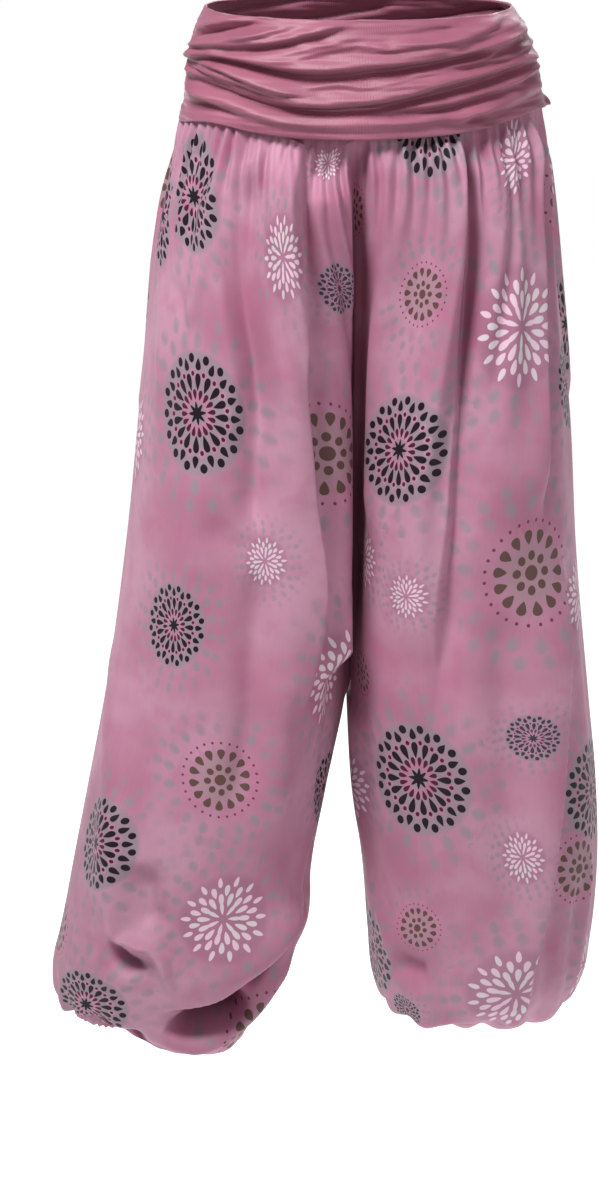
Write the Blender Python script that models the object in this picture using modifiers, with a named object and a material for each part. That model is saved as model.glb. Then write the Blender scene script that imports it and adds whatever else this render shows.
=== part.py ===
"""Harem pants with a ruched jersey yoke and ballooned, elasticated legs.

Metres, +Z up. The origin is the centre of the waist opening, at its top edge.
The wearer faces -Y, so the wearer's right leg lies at -X and the left one at +X.
Every cloth piece is an open sheet, laid through sections, that Solidify turns
into a wall.
"""
import math
from collections import namedtuple

import bmesh
import bpy
import numpy as np

# ---- cloth ----
LEG_WALL = 0.0012          # printed woven cloth
JERSEY_WALL = 0.0020       # two layers of thin jersey, ruched
BAND_WALL = 0.0015         # plain jersey band inside the yoke
CASING_WALL = 0.0020       # turned hem with its elastic
SEAM_GAP = 0.0003          # between pieces that are sewn together
BAND_GAP = 0.0006          # below the band, where the gathers turn under it

# ---- heights ----
SEAM_Z = -0.0985           # where the legs are gathered on to the band
SEAM_DIP = 0.0175          # how far that seam sags out of the yoke at the centre front
SEAM_DIP_X = -0.030        # middle of the sagging stretch
SEAM_DIP_WIDTH = 0.032
SIDE_RISE = 0.0055         # the seam is higher at the wearer's left side
HALF_HIP = 0.170
SEAM_BLEND_RUN = 0.120     # cloth below the seam that still follows its slope
BAND_TOP_Z = -0.080

# ---- legs ----
CROTCH_RUN = 0.502         # cloth length from the yoke seam to the crotch
LEG_RUN = 0.952            # cloth length from the yoke seam to the ankle elastic
MIDDLE_X = -0.004          # the legs meet a little to the wearer's right
TORSO_SQUARE = 2.15        # 2 is an ellipse, more is squarer
RING_RADIUS = 0.0480       # ankle elastic, outside
CASING_HEIGHT = 0.0140
RING_CLEARANCE = 0.0010    # cloth ends this far outside the elastic

# ---- how finely the sheets are laid ----
HALF_PLEATS = 28           # columns across one leg panel, crest and trough by turns
HALF_RING_COLUMNS = 28     # columns across half of the yoke, and half of the band
CASING_COLUMNS = 28
SECTION_SAMPLES = 241      # points that measure a section's length
LEG_ROWS = (0.0, 0.012, 0.034, 0.064, 0.105, 0.160, 0.225, 0.295, 0.365, 0.435, 0.502,
            0.570, 0.635, 0.700, 0.760, 0.812, 0.852, 0.880, 0.902, 0.920, 0.936, 0.952)

# One row per section of a leg: cloth length from the seam, height, outer and inner
# side, front and back, depth of the side seam, squareness, and how much lower the
# inner side hangs.
Section = namedtuple("Section", "run z outer inner front back side square sag")

RIGHT_LEG = (
    Section(0.000, -0.099, -0.154, -0.003, -0.106, 0.116, 0.000, 2.3, 0.000),
    Section(0.012, -0.111, -0.158, -0.003, -0.108, 0.119, 0.001, 2.3, 0.000),
    Section(0.038, -0.137, -0.171, -0.004, -0.119, 0.132, 0.003, 2.3, 0.000),
    Section(0.152, -0.250, -0.192, -0.004, -0.134, 0.150, 0.006, 2.4, 0.000),
    Section(0.272, -0.370, -0.203, -0.004, -0.138, 0.150, 0.006, 2.4, 0.000),
    Section(0.412, -0.510, -0.218, -0.005, -0.142, 0.143, 0.001, 2.3, 0.000),
    Section(0.562, -0.660, -0.240, -0.010, -0.150, 0.124, -0.012, 2.2, 0.000),
    Section(0.642, -0.737, -0.255, -0.027, -0.158, 0.108, -0.025, 2.2, 0.000),
    Section(0.727, -0.820, -0.271, -0.042, -0.166, 0.090, -0.038, 2.3, 0.002),
    Section(0.797, -0.884, -0.283, -0.052, -0.171, 0.076, -0.048, 2.3, 0.006),
    Section(0.847, -0.923, -0.289, -0.070, -0.169, 0.064, -0.054, 2.2, 0.018),
    Section(0.880, -0.947, -0.289, -0.090, -0.162, 0.050, -0.058, 2.2, 0.024),
    Section(0.902, -0.958, -0.288, -0.110, -0.151, 0.034, -0.062, 2.1, 0.026),
    Section(0.920, -0.961, -0.285, -0.132, -0.140, 0.014, -0.066, 2.1, 0.022),
    Section(0.936, -0.951, -0.279, -0.154, -0.130, -0.006, -0.068, 2.0, 0.008),
    Section(0.952, -0.947, -0.270, -0.172, -0.120, -0.020, -0.070, 2.0, 0.000),
)
LEFT_LEG = (
    Section(0.000, -0.099, 0.165, -0.003, -0.106, 0.116, 0.000, 2.3, 0.000),
    Section(0.012, -0.111, 0.168, -0.003, -0.108, 0.119, 0.001, 2.3, 0.000),
    Section(0.038, -0.137, 0.176, -0.003, -0.119, 0.132, 0.003, 2.3, 0.000),
    Section(0.152, -0.250, 0.189, -0.003, -0.131, 0.150, 0.006, 2.4, 0.000),
    Section(0.272, -0.370, 0.201, -0.003, -0.136, 0.152, 0.006, 2.4, 0.000),
    Section(0.412, -0.510, 0.209, -0.004, -0.138, 0.150, 0.006, 2.3, 0.000),
    Section(0.562, -0.660, 0.224, -0.008, -0.137, 0.144, 0.006, 2.2, 0.000),
    Section(0.642, -0.737, 0.232, -0.004, -0.134, 0.138, 0.006, 2.2, 0.000),
    Section(0.737, -0.829, 0.235, 0.008, -0.130, 0.132, 0.006, 2.3, 0.000),
    Section(0.802, -0.892, 0.230, 0.013, -0.128, 0.128, 0.006, 2.3, 0.000),
    Section(0.852, -0.937, 0.221, 0.018, -0.124, 0.124, 0.006, 2.2, 0.000),
    Section(0.880, -0.958, 0.207, 0.026, -0.115, 0.118, 0.006, 2.2, 0.000),
    Section(0.902, -0.963, 0.188, 0.035, -0.101, 0.107, 0.006, 2.1, 0.000),
    Section(0.920, -0.964, 0.174, 0.044, -0.082, 0.090, 0.006, 2.1, 0.000),
    Section(0.936, -0.956, 0.164, 0.051, -0.061, 0.072, 0.006, 2.0, 0.000),
    Section(0.952, -0.955, 0.157, 0.057, -0.044, 0.056, 0.006, 2.0, 0.000),
)

# One row per large fold of a leg panel: where its crest runs at the top, half way and
# at the bottom (0 at the side seam, 1 at the inner edge), the cloth lengths where it
# starts and ends, its height (a trough's is below 0), and how far it spreads to its
# side-seam and to its inner side.
Fold = namedtuple("Fold", "face top middle bottom start end height outer_spread inner_spread")

RIGHT_FOLDS = (
    Fold("front", 0.765, 0.745, 0.705, 0.00, 0.53, 0.0120, 0.045, 0.009),
    Fold("front", 0.860, 0.850, 0.800, 0.03, 0.46, -0.0080, 0.020, 0.022),
    Fold("front", 0.620, 0.575, 0.565, 0.02, 0.63, -0.0065, 0.016, 0.020),
    Fold("front", 0.440, 0.430, 0.400, 0.05, 0.42, 0.0050, 0.024, 0.020),
    Fold("front", 0.060, 0.250, 0.340, 0.50, 0.80, 0.0065, 0.018, 0.034),
    Fold("front", 0.860, 0.760, 0.560, 0.72, 0.88, -0.0100, 0.020, 0.014),
    Fold("back", 0.250, 0.240, 0.220, 0.06, 0.55, 0.0080, 0.030, 0.018),
    Fold("back", 0.450, 0.480, 0.500, 0.03, 0.70, -0.0070, 0.020, 0.020),
    Fold("back", 0.720, 0.700, 0.680, 0.02, 0.56, 0.0110, 0.038, 0.012),
    Fold("back", 0.300, 0.320, 0.360, 0.55, 0.86, -0.0060, 0.024, 0.024),
)
LEFT_FOLDS = (
    Fold("front", 0.625, 0.630, 0.610, 0.00, 0.55, 0.0075, 0.010, 0.040),
    Fold("front", 0.575, 0.580, 0.550, 0.00, 0.52, -0.0060, 0.014, 0.012),
    Fold("front", 0.520, 0.525, 0.515, 0.02, 0.40, 0.0055, 0.020, 0.016),
    Fold("front", 0.190, 0.260, 0.310, 0.00, 0.34, 0.0070, 0.010, 0.032),
    Fold("front", 0.200, 0.290, 0.340, 0.46, 0.89, 0.0090, 0.010, 0.045),
    Fold("front", 0.730, 0.690, 0.630, 0.75, 0.86, -0.0060, 0.024, 0.018),
    Fold("back", 0.200, 0.220, 0.240, 0.04, 0.50, 0.0080, 0.024, 0.020),
    Fold("back", 0.420, 0.400, 0.380, 0.02, 0.72, -0.0070, 0.020, 0.022),
    Fold("back", 0.700, 0.690, 0.660, 0.03, 0.60, 0.0100, 0.034, 0.012),
    Fold("back", 0.560, 0.540, 0.520, 0.50, 0.88, -0.0060, 0.024, 0.020),
)

# Gathers: how high the small pleats stand at the yoke seam and at the ankle, how far
# they run, and how much their heights and lengths differ across a panel.
SEAM_PLEAT = 0.0034
SEAM_PLEAT_RUN = 0.100
SEAM_PLEAT_FADE = 1.4
SEAM_CALM = 0.5            # share of its height that a pleat loses at the seam
SEAM_CALM_RUN = 0.030
HEM_PLEAT = 0.0042
HEM_PLEAT_RUN = 0.050
HEM_CALM = 0.75            # share that it loses at the elastic
HEM_CALM_RUN = 0.012
PLEAT_VARIATION = 0.28
PLEAT_BEATS = (9.0, 23.0)
LENGTH_VARIATION = 0.5
LENGTH_BEAT = 15.0
FADE = 0.055               # soft ends of a fold
SEAM_HOLD = 0.045          # cloth below the yoke seam that the seam keeps flat
EDGE_CALM = 0.06           # share of a panel's width along its seams without folds
SHARED_SEAM = 0.06         # cloth below the crotch that still meets the other leg

# One row per level of the yoke: height, wearer's right and left side, front, back.
Girth = namedtuple("Girth", "z right left front back")

YOKE_GIRTHS = (
    Girth(0.000, -0.139, 0.141, -0.096, 0.096),
    Girth(-0.024, -0.149, 0.154, -0.102, 0.104),
    Girth(-0.042, -0.153, 0.161, -0.105, 0.110),
    Girth(-0.060, -0.156, 0.166, -0.108, 0.116),
    Girth(-0.079, -0.158, 0.168, -0.109, 0.120),
    Girth(-0.118, -0.160, 0.171, -0.112, 0.122),
)
BAND_TOP_INSET = 0.0022    # the inner band lies this far inside the yoke's hollows
BAND_LOW_INSET = 0.0045    # and further in where the gathers need room

# One row per ruche of the yoke: how far its crest lies below the top edge at the
# wearer's right seam, at the middle and at the left seam, and how far it stands out.
Ruche = namedtuple("Ruche", "right middle left height")

FRONT_RUCHES = (
    Ruche(0.014, 0.010, 0.010, 0.0020),
    Ruche(0.036, 0.034, 0.026, 0.0038),
    Ruche(0.054, 0.058, 0.044, 0.0045),
    Ruche(0.072, 0.080, 0.060, 0.0045),
    Ruche(0.090, 0.098, 0.078, 0.0038),
)
BACK_RUCHES = (
    Ruche(0.012, 0.014, 0.010, 0.0022),
    Ruche(0.034, 0.038, 0.028, 0.0036),
    Ruche(0.053, 0.060, 0.046, 0.0044),
    Ruche(0.072, 0.080, 0.062, 0.0042),
    Ruche(0.090, 0.096, 0.079, 0.0034),
)
YOKE_DEPTH = (0.1055, 0.1075, 0.0955)   # at the right seam, the middle, the left seam
RUCHE_VALLEY = 0.0004
RUCHE_VARIATION = 0.20
RUCHE_BEAT = 11.0
RUCHE_SHIFT = 60.0         # turn of that variation for each metre down the yoke
TOP_DIP = 0.003
TOP_ROLL = 0.0006
LOW_ROLL = 0.0045          # the lower edge stands out over the gathers
HANG_POWER = 0.8           # shape of a line that hangs between the side seams
YOKE_END_CALM = 0.05       # share of the yoke's width along its seams, ruched less
YOKE_END_KEPT = 0.3


# ---- curves through the tables ----

def along(rows, key, name, at):
    """Column `name` at the places `at` of column `key`, smoothly through the rows."""
    xs = np.array([getattr(row, key) for row in rows])
    ys = np.array([getattr(row, name) for row in rows])
    slopes = np.gradient(ys, xs)
    i = np.clip(np.searchsorted(xs, at, side="right") - 1, 0, len(xs) - 2)
    h = xs[i + 1] - xs[i]
    s = np.clip((at - xs[i]) / h, 0.0, 1.0)
    start = (1 + 2 * s) * (1 - s) ** 2 * ys[i] + s * (1 - s) ** 2 * h * slopes[i]
    end = s * s * (3 - 2 * s) * ys[i + 1] + s * s * (s - 1) * h * slopes[i + 1]
    return start + end


def soft_step(x):
    x = np.clip(x, 0.0, 1.0)
    return x * x * (3 - 2 * x)


def power(x, exponent):
    return np.sign(x) * np.abs(x) ** exponent


# ---- the legs ----

def seam_height(x, front):
    """Height of the seam between the band and the legs."""
    height = SEAM_Z + SIDE_RISE * x / HALF_HIP
    if front:
        height = height - SEAM_DIP * np.exp(-((x - SEAM_DIP_X) / SEAM_DIP_WIDTH) ** 2)
    return height


def section_curve(leg, face, run, angle):
    """Points of one section, as a torso quarter that turns into a leg half."""
    column = {name: float(along(leg, "run", name, np.array(run)))
              for name in Section._fields[1:]}
    reach = column[face] - column["side"]
    torso = 2 / TORSO_SQUARE
    quarter = angle * 0.5
    torso_x = MIDDLE_X + (column["outer"] - MIDDLE_X) * power(np.cos(quarter), torso)
    torso_y = column["side"] + reach * power(np.sin(quarter), torso)
    shape = 2 / column["square"]
    centre = (column["outer"] + column["inner"]) / 2
    leg_x = centre + (column["outer"] - centre) * power(np.cos(angle), shape)
    leg_y = column["side"] + reach * power(np.sin(angle), shape)
    share = math.sin(math.pi / 2 * min(run / CROTCH_RUN, 1.0))
    x = torso_x + (leg_x - torso_x) * share
    y = torso_y + (leg_y - torso_y) * share
    inwards = (x - centre) / abs(column["inner"] - centre) * np.sign(column["inner"] - centre)
    z = column["z"] - column["sag"] * inwards
    top = seam_height(x, face == "front") - BAND_GAP
    z = z + (top - SEAM_Z) * (1 - soft_step(run / SEAM_BLEND_RUN))
    return np.stack([x, y, z], axis=-1)


def even_section(leg, face, run, across):
    """The same section at even steps of cloth, a seam gap short at each end."""
    fine = section_curve(leg, face, run, np.linspace(0, math.pi, SECTION_SAMPLES))
    steps = np.linalg.norm(np.diff(fine, axis=0), axis=1)
    length = np.concatenate([[0.0], np.cumsum(steps)])
    wanted = SEAM_GAP / 2 + across * (length[-1] - SEAM_GAP)
    return np.stack([np.interp(wanted, length, fine[:, axis]) for axis in range(3)], axis=-1)


def fold_height(folds, face, across, run, width):
    """Height of all large folds of a panel."""
    height = np.zeros_like(across)
    for fold in folds:
        if fold.face != face:
            continue
        part = np.clip((run - fold.start) / (fold.end - fold.start), 0, 1)
        crest = (fold.top * (1 - part) * (1 - 2 * part) + fold.middle * 4 * part * (1 - part)
                 + fold.bottom * part * (2 * part - 1))
        away = (across - crest) * width
        spread = np.where(away < 0, fold.outer_spread, fold.inner_spread)
        ends = soft_step((run - fold.start) / FADE + 0.5) * soft_step((fold.end - run) / FADE + 0.5)
        height += fold.height * np.exp(-(away / spread) ** 2) * ends
    return height * soft_step(run / SEAM_HOLD)


def pleat_height(across, run, phase):
    """Height of the small gathers at the yoke seam and at the ankle."""
    slow, quick = PLEAT_BEATS
    beat = np.sin(slow * across + phase) * np.cos(quick * across + 2 * phase)
    uneven = 1 - PLEAT_VARIATION * (1 - beat)
    reach = SEAM_PLEAT_RUN * (1 + LENGTH_VARIATION * np.sin(LENGTH_BEAT * across + 3 * phase))
    seam = SEAM_PLEAT * uneven * np.exp(-(run / reach) ** SEAM_PLEAT_FADE)
    hem = HEM_PLEAT * uneven * soft_step((run - (LEG_RUN - 2 * HEM_PLEAT_RUN)) / HEM_PLEAT_RUN)
    last = 1 - HEM_CALM * soft_step((run - LEG_RUN + HEM_CALM_RUN) / HEM_CALM_RUN)
    first = 1 - SEAM_CALM * (1 - soft_step(run / SEAM_CALM_RUN))
    wave = -np.cos(math.pi * across * HALF_PLEATS)
    flat_seams = np.clip(np.minimum(across, 1 - across) * HALF_PLEATS, 0, 1)
    return (seam * first + hem * last) * wave * flat_seams


def surface_normals(points, flip):
    """Outward normals of a sheet of points[row, column]."""
    down = np.gradient(points, axis=0)
    over = np.gradient(points, axis=1)
    normals = np.cross(down, over) * flip
    return normals / np.maximum(np.linalg.norm(normals, axis=-1, keepdims=True), 1e-12)


def leg_sheet(leg, folds, face, phase):
    """One leg panel as rows of points, folds and gathers included."""
    hand = 1 if leg is RIGHT_LEG else -1
    flip = hand if face == "front" else -hand
    across = np.linspace(0, 1, HALF_PLEATS + 1)
    points = np.stack([even_section(leg, face, run, across) for run in LEG_ROWS])
    normals = surface_normals(points, flip)
    run = np.array(LEG_ROWS)[:, None] + 0 * across[None, :]
    across = across[None, :] + 0 * run
    width = np.linalg.norm(np.diff(points, axis=1), axis=-1).sum(axis=1)[:, None]
    calm = soft_step(np.minimum(across, 1 - across) / EDGE_CALM)
    height = fold_height(folds, face, across, run, width) * calm
    height += pleat_height(across, run, phase)
    top_z = points[0, :, 2].copy()
    points = points + normals * height[..., None]
    points[0, :, 2] = top_z
    keep_apart(points, leg, run)
    end = leg[-1]
    ring = np.array([(end.outer + end.inner) / 2, end.side])
    away = points[-1, :, :2] - ring
    away /= np.linalg.norm(away, axis=1, keepdims=True)
    points[-1, :, :2] = ring + away * (RING_RADIUS + RING_CLEARANCE)
    return points, flip


def keep_apart(points, leg, run):
    """Holds each leg on its own side of the seam that both share."""
    limit = SEAM_GAP / 2
    above = run <= CROTCH_RUN + SHARED_SEAM
    side = points[..., 0] - MIDDLE_X
    if leg is RIGHT_LEG:
        held = np.minimum(side, -limit)
    else:
        held = np.maximum(side, limit)
    points[..., 0] = np.where(above, MIDDLE_X + held, points[..., 0])


# ---- the yoke ----

def girth_points(z, angle, grow):
    """Points round the waist: 0 at the wearer's right, then front, left and back."""
    right = along(YOKE_GIRTHS[::-1], "z", "right", z)
    left = along(YOKE_GIRTHS[::-1], "z", "left", z)
    front = along(YOKE_GIRTHS[::-1], "z", "front", z)
    back = along(YOKE_GIRTHS[::-1], "z", "back", z)
    centre = (right + left) / 2
    half = (left - right) / 2 + grow
    shape = 2 / TORSO_SQUARE
    sine = np.sin(angle)
    reach = np.where(sine > 0, front - grow, back + grow)
    x = centre - half * power(np.cos(angle), shape)
    y = reach * np.abs(sine) ** shape
    return np.stack([x, y, z + 0 * x], axis=-1)


def sagging(right, middle, left, across):
    """A line that hangs between two seams: its depth at each place across."""
    hang = middle - (right + left) / 2
    return right + (left - right) * across + hang * np.sin(math.pi * across) ** HANG_POWER


def yoke_lines(ruches):
    """Crests and hollows of the yoke from its top edge to its lower edge."""
    lines = [Ruche(0.0, TOP_DIP, 0.0, TOP_ROLL)]
    lower = ruches[1:] + (Ruche(*YOKE_DEPTH, LOW_ROLL),)
    for ruche, below in zip(ruches, lower):
        lines.append(ruche)
        hollow = [(a + b) / 2 for a, b in zip(ruche[:3], below[:3])]
        lines.append(Ruche(*hollow, RUCHE_VALLEY))
    lines.append(lower[-1])
    return lines


def yoke_sheet(ruches, face):
    """Half of the yoke, from the wearer's right seam to the left one."""
    across = np.linspace(0, 1, HALF_RING_COLUMNS + 1)
    rows = []
    for line in yoke_lines(ruches):
        z = -sagging(line.right, line.middle, line.left, across)
        wave = np.sin(RUCHE_BEAT * across + RUCHE_SHIFT * line.middle)
        swell = 1 - RUCHE_VARIATION * (1 - wave)
        ends = soft_step(np.minimum(across, 1 - across) / YOKE_END_CALM + YOKE_END_KEPT)
        grow = line.height * swell * ends
        turn = math.pi * across if face == "front" else 2 * math.pi - math.pi * across
        row = girth_points(z, turn, grow)
        clear = SEAM_GAP / 2 if face == "front" else -SEAM_GAP / 2
        row[:, 1] = row[:, 1] - clear
        rows.append(row)
    return np.stack(rows)


def band_sheet():
    """The plain band that the legs are gathered on to, a closed ring."""
    angle = np.linspace(0, 2 * math.pi, 2 * HALF_RING_COLUMNS, endpoint=False)
    x = girth_points(np.full_like(angle, SEAM_Z), angle, -BAND_LOW_INSET)[:, 0]
    front = seam_height(x, True)
    back = seam_height(x, False)
    lower = np.where(np.sin(angle) > 0, front, back)
    rows = []
    for part in (0.0, 0.5, 1.0):
        z = BAND_TOP_Z + (lower - BAND_TOP_Z) * part
        inset = BAND_TOP_INSET + (BAND_LOW_INSET - BAND_TOP_INSET) * part
        rows.append(girth_points(z, angle, -inset))
    return np.stack(rows)


def casing_sheet(leg):
    """The elasticated ankle edge, a closed ring."""
    end = leg[-1]
    angle = np.linspace(0, 2 * math.pi, CASING_COLUMNS, endpoint=False)
    x = (end.outer + end.inner) / 2 + RING_RADIUS * np.cos(angle)
    y = end.side + RING_RADIUS * np.sin(angle)
    heights = (end.z + CASING_HEIGHT / 2, end.z - CASING_HEIGHT / 2)
    return np.stack([np.stack([x, y, np.full_like(x, z)], axis=-1) for z in heights])


# ---- building ----

def fabric(name, colour, roughness):
    material = bpy.data.materials.new(name)
    material.use_nodes = True
    shader = material.node_tree.nodes["Principled BSDF"]
    shader.inputs["Base Color"].default_value = (*colour, 1.0)
    shader.inputs["Roughness"].default_value = roughness
    shader.inputs["Metallic"].default_value = 0.0
    return material


def sheet_object(name, points, wall, material, collection, flip=1, closed=False):
    """A sheet of points[row, column] as an object with a wall on its inner side."""
    mesh = bpy.data.meshes.new(name)
    grid = bmesh.new()
    verts = [[grid.verts.new(point) for point in row] for row in points]
    columns = len(verts[0])
    for upper, lower in zip(verts, verts[1:]):
        for j in range(columns if closed else columns - 1):
            k = (j + 1) % columns
            corners = [upper[j], lower[j], lower[k], upper[k]]
            grid.faces.new(corners if flip > 0 else corners[::-1])
    grid.to_mesh(mesh)
    grid.free()
    mesh.materials.append(material)
    mesh.shade_smooth()
    thing = bpy.data.objects.new(name, mesh)
    collection.objects.link(thing)
    solidify = thing.modifiers.new("wall", "SOLIDIFY")
    solidify.thickness = wall
    solidify.offset = -1.0
    solidify.use_even_offset = False
    return thing


def main():
    for thing in list(bpy.data.objects):
        bpy.data.objects.remove(thing)
    collection = bpy.data.collections.new("harem_pants")
    bpy.context.scene.collection.children.link(collection)
    print_cloth = fabric("printed_viscose", (0.490, 0.188, 0.305), 0.80)
    jersey = fabric("jersey", (0.402, 0.115, 0.188), 0.88)
    band = fabric("band_jersey", (0.160, 0.045, 0.085), 0.90)

    sheet_object("yoke_front", yoke_sheet(FRONT_RUCHES, "front"), JERSEY_WALL, jersey,
                 collection, flip=1)
    sheet_object("yoke_back", yoke_sheet(BACK_RUCHES, "back"), JERSEY_WALL, jersey,
                 collection, flip=-1)
    sheet_object("under_band", band_sheet(), BAND_WALL, band, collection, closed=True)

    for side, leg, folds in (("right", RIGHT_LEG, RIGHT_FOLDS), ("left", LEFT_LEG, LEFT_FOLDS)):
        for phase, face in enumerate(("front", "back")):
            points, flip = leg_sheet(leg, folds, face, phase + 1.3 * len(side))
            sheet_object(f"{side}_{face}", points, LEG_WALL, print_cloth, collection, flip=flip)
        sheet_object(f"{side}_casing", casing_sheet(leg), CASING_WALL, print_cloth, collection,
                     closed=True)


main()
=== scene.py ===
import math
from collections import namedtuple

import bpy
import numpy as np
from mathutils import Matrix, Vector


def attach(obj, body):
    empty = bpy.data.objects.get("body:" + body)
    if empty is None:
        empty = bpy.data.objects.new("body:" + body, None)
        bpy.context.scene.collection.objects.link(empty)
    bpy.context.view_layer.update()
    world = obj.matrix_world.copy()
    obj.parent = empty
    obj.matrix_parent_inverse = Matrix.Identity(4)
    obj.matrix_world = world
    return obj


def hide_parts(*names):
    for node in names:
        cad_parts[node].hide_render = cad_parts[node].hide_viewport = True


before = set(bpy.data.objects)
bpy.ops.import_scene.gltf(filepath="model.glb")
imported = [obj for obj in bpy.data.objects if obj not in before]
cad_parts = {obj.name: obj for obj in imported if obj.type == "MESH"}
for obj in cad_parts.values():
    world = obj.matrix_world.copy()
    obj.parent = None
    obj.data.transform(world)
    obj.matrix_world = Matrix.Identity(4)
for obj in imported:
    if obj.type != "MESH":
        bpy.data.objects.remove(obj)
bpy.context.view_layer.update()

# Harem pants: ruched jersey yoke, ballooned printed legs, elastic ankles.
# Metres, +Z up, the wearer faces -Y, their right leg is at -X. The tables' lengths are in
# millimetres and their shares in hundredths. A place on a leg panel is its share of the
# panel's width, from the side seam, and the cloth length down from the yoke seam.
MM = 0.001
HUNDREDTH = 0.01


def scaled(values, unit):
    return tuple(value * unit for value in values)


def path_of(points, down):
    return tuple((across * HUNDREDTH, length * down) for across, length in points)


# ---- the solids' own sizes ----
SEAM_GAP = 0.0003
BAND_GAP = 0.0006
SEAM_Z = -0.0985           # where the legs are gathered on to the band
SEAM_DIP = 0.0175          # how far that seam sags at the centre front
SEAM_DIP_X = -0.030
SEAM_DIP_WIDTH = 0.032
SIDE_RISE = 0.0055         # it is higher at the wearer's left side
HALF_HIP = 0.170
SEAM_BLEND_RUN = 0.120     # cloth below the seam that still follows its slope
BAND_TOP_Z = -0.080
CROTCH_RUN = 0.502
LEG_RUN = 0.952            # cloth length from the yoke seam to the ankle elastic
MIDDLE_X = -0.004          # the legs meet a little to the wearer's right
TORSO_SQUARE = 2.15        # 2 is an ellipse, more is squarer
RING_RADIUS = 0.0480       # ankle elastic
CASING_HEIGHT = 0.0140
RING_CLEARANCE = 0.0010
JERSEY_WALL = 0.0020
FADE = 0.055               # a fold's ends die out over this length
SEAM_HOLD = 0.045          # and all folds do below the seam
EDGE_CALM = 0.06           # share of the width beside a seam that stays calm
CREASE_CALM = 0.03         # the same for creases
SHARED_SEAM = 0.06         # cloth below the crotch that still meets the other leg
SEAM_LAP = 0.0003          # cloth turned in at the seam that both legs share
SEAM_RECESS = 0.018        # how far that seam is drawn in below the yoke
SEAM_SINK = 0.0010         # how far every seam lies in, and over what width
SEAM_SINK_WIDTH = 0.0030
JOIN_RUN = 0.562           # the legs' inner walls meet down to here
JOIN_REACH = {"right": 0.009, "left": 0.024}
POUCH_TUCK = 0.011         # the right pouch draws in at its inner end
POUCH_TUCK_RUN = 0.866
POUCH_TUCK_LENGTH = 0.032
POUCH_TUCK_WIDTH = 0.070
TOP_TUCK = 0.011           # the legs go this far up under the yoke's raised hem
TOP_TUCK_RUN = 0.035
TOP_TUCK_ACROSS = 0.45     # from the side seam to here

Section = namedtuple("Section", "run z outer inner front back side square sag")


def sections(*rows):
    """All in mm, apart from how square the section is."""
    return tuple(Section(*scaled(row[:7], MM), row[7], row[8] * MM) for row in rows)


RIGHT_LEG = sections(
    (0, -99, -159, -3, -106, 116, 0, 2.3, 0),
    (12, -111, -163.5, -3, -108, 119, 1, 2.3, 0),
    (38, -137, -168.5, -4, -119, 132, 3, 2.3, 0),
    (152, -250, -190, -4, -134, 150, 6, 2.4, 0),
    (272, -370, -203, -4, -138, 150, 6, 2.4, 0),
    (412, -510, -218, -5, -142, 143, 1, 2.3, 0),
    (562, -660, -240, -10, -150, 124, -12, 2.2, 0),
    (642, -737, -255, -27, -158, 108, -25, 2.2, 0),
    (727, -820, -271, -42, -166, 90, -38, 2.3, 2),
    (775, -864, -279, -46, -170, 81, -45, 2.3, 4.5),
    (797, -884, -283, -57, -171, 76, -48, 2.3, 6),
    (847, -923, -289, -76, -169, 64, -54, 2.2, 18),
    (880, -947, -289, -95, -162, 50, -58, 2.2, 24),
    (902, -958, -288, -110, -151, 34, -62, 2.1, 26),
    (920, -961, -285, -132, -140, 14, -66, 2.1, 22),
    (936, -951, -279, -154, -130, -6, -68, 2, 8),
    (952, -947, -270, -172, -120, -20, -70, 2, 0),
)
LEFT_LEG = sections(
    (0, -99, 168, -3, -106, 116, 0, 2.3, 0),
    (12, -111, 169, -3, -108, 119, 1, 2.3, 0),
    (38, -137, 173, -3, -119, 132, 3, 2.3, 0),
    (152, -250, 185, -3, -131, 150, 6, 2.4, 0),
    (272, -370, 200, -3, -136, 152, 6, 2.4, 0),
    (412, -510, 209, -4, -138, 150, 6, 2.3, 0),
    (562, -660, 224, -8, -137, 144, 6, 2.2, 0),
    (642, -737, 232, -4, -134, 138, 6, 2.2, 0),
    (737, -829, 235, 8, -130, 132, 6, 2.3, 0),
    (802, -892, 230, 13, -128, 128, 6, 2.3, 0),
    (852, -937, 221, 18, -124, 124, 6, 2.2, 0),
    (880, -958, 207, 26, -115, 118, 6, 2.2, 0),
    (902, -963, 188, 35, -101, 107, 6, 2.1, 0),
    (920, -964, 174, 44, -82, 90, 6, 2.1, 0),
    (936, -956, 164, 51, -61, 72, 6, 2, 0),
    (952, -955, 157, 57, -44, 56, 6, 2, 0),
)

# Broad folds: where the crest runs, where it starts and ends, its height and spreads.
Fold = namedtuple("Fold", "face top middle bottom start end height outer_spread inner_spread")


def folds(face, *rows):
    return tuple(Fold(face, *scaled(row[:3], HUNDREDTH), *scaled(row[3:], MM)) for row in rows)


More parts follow.
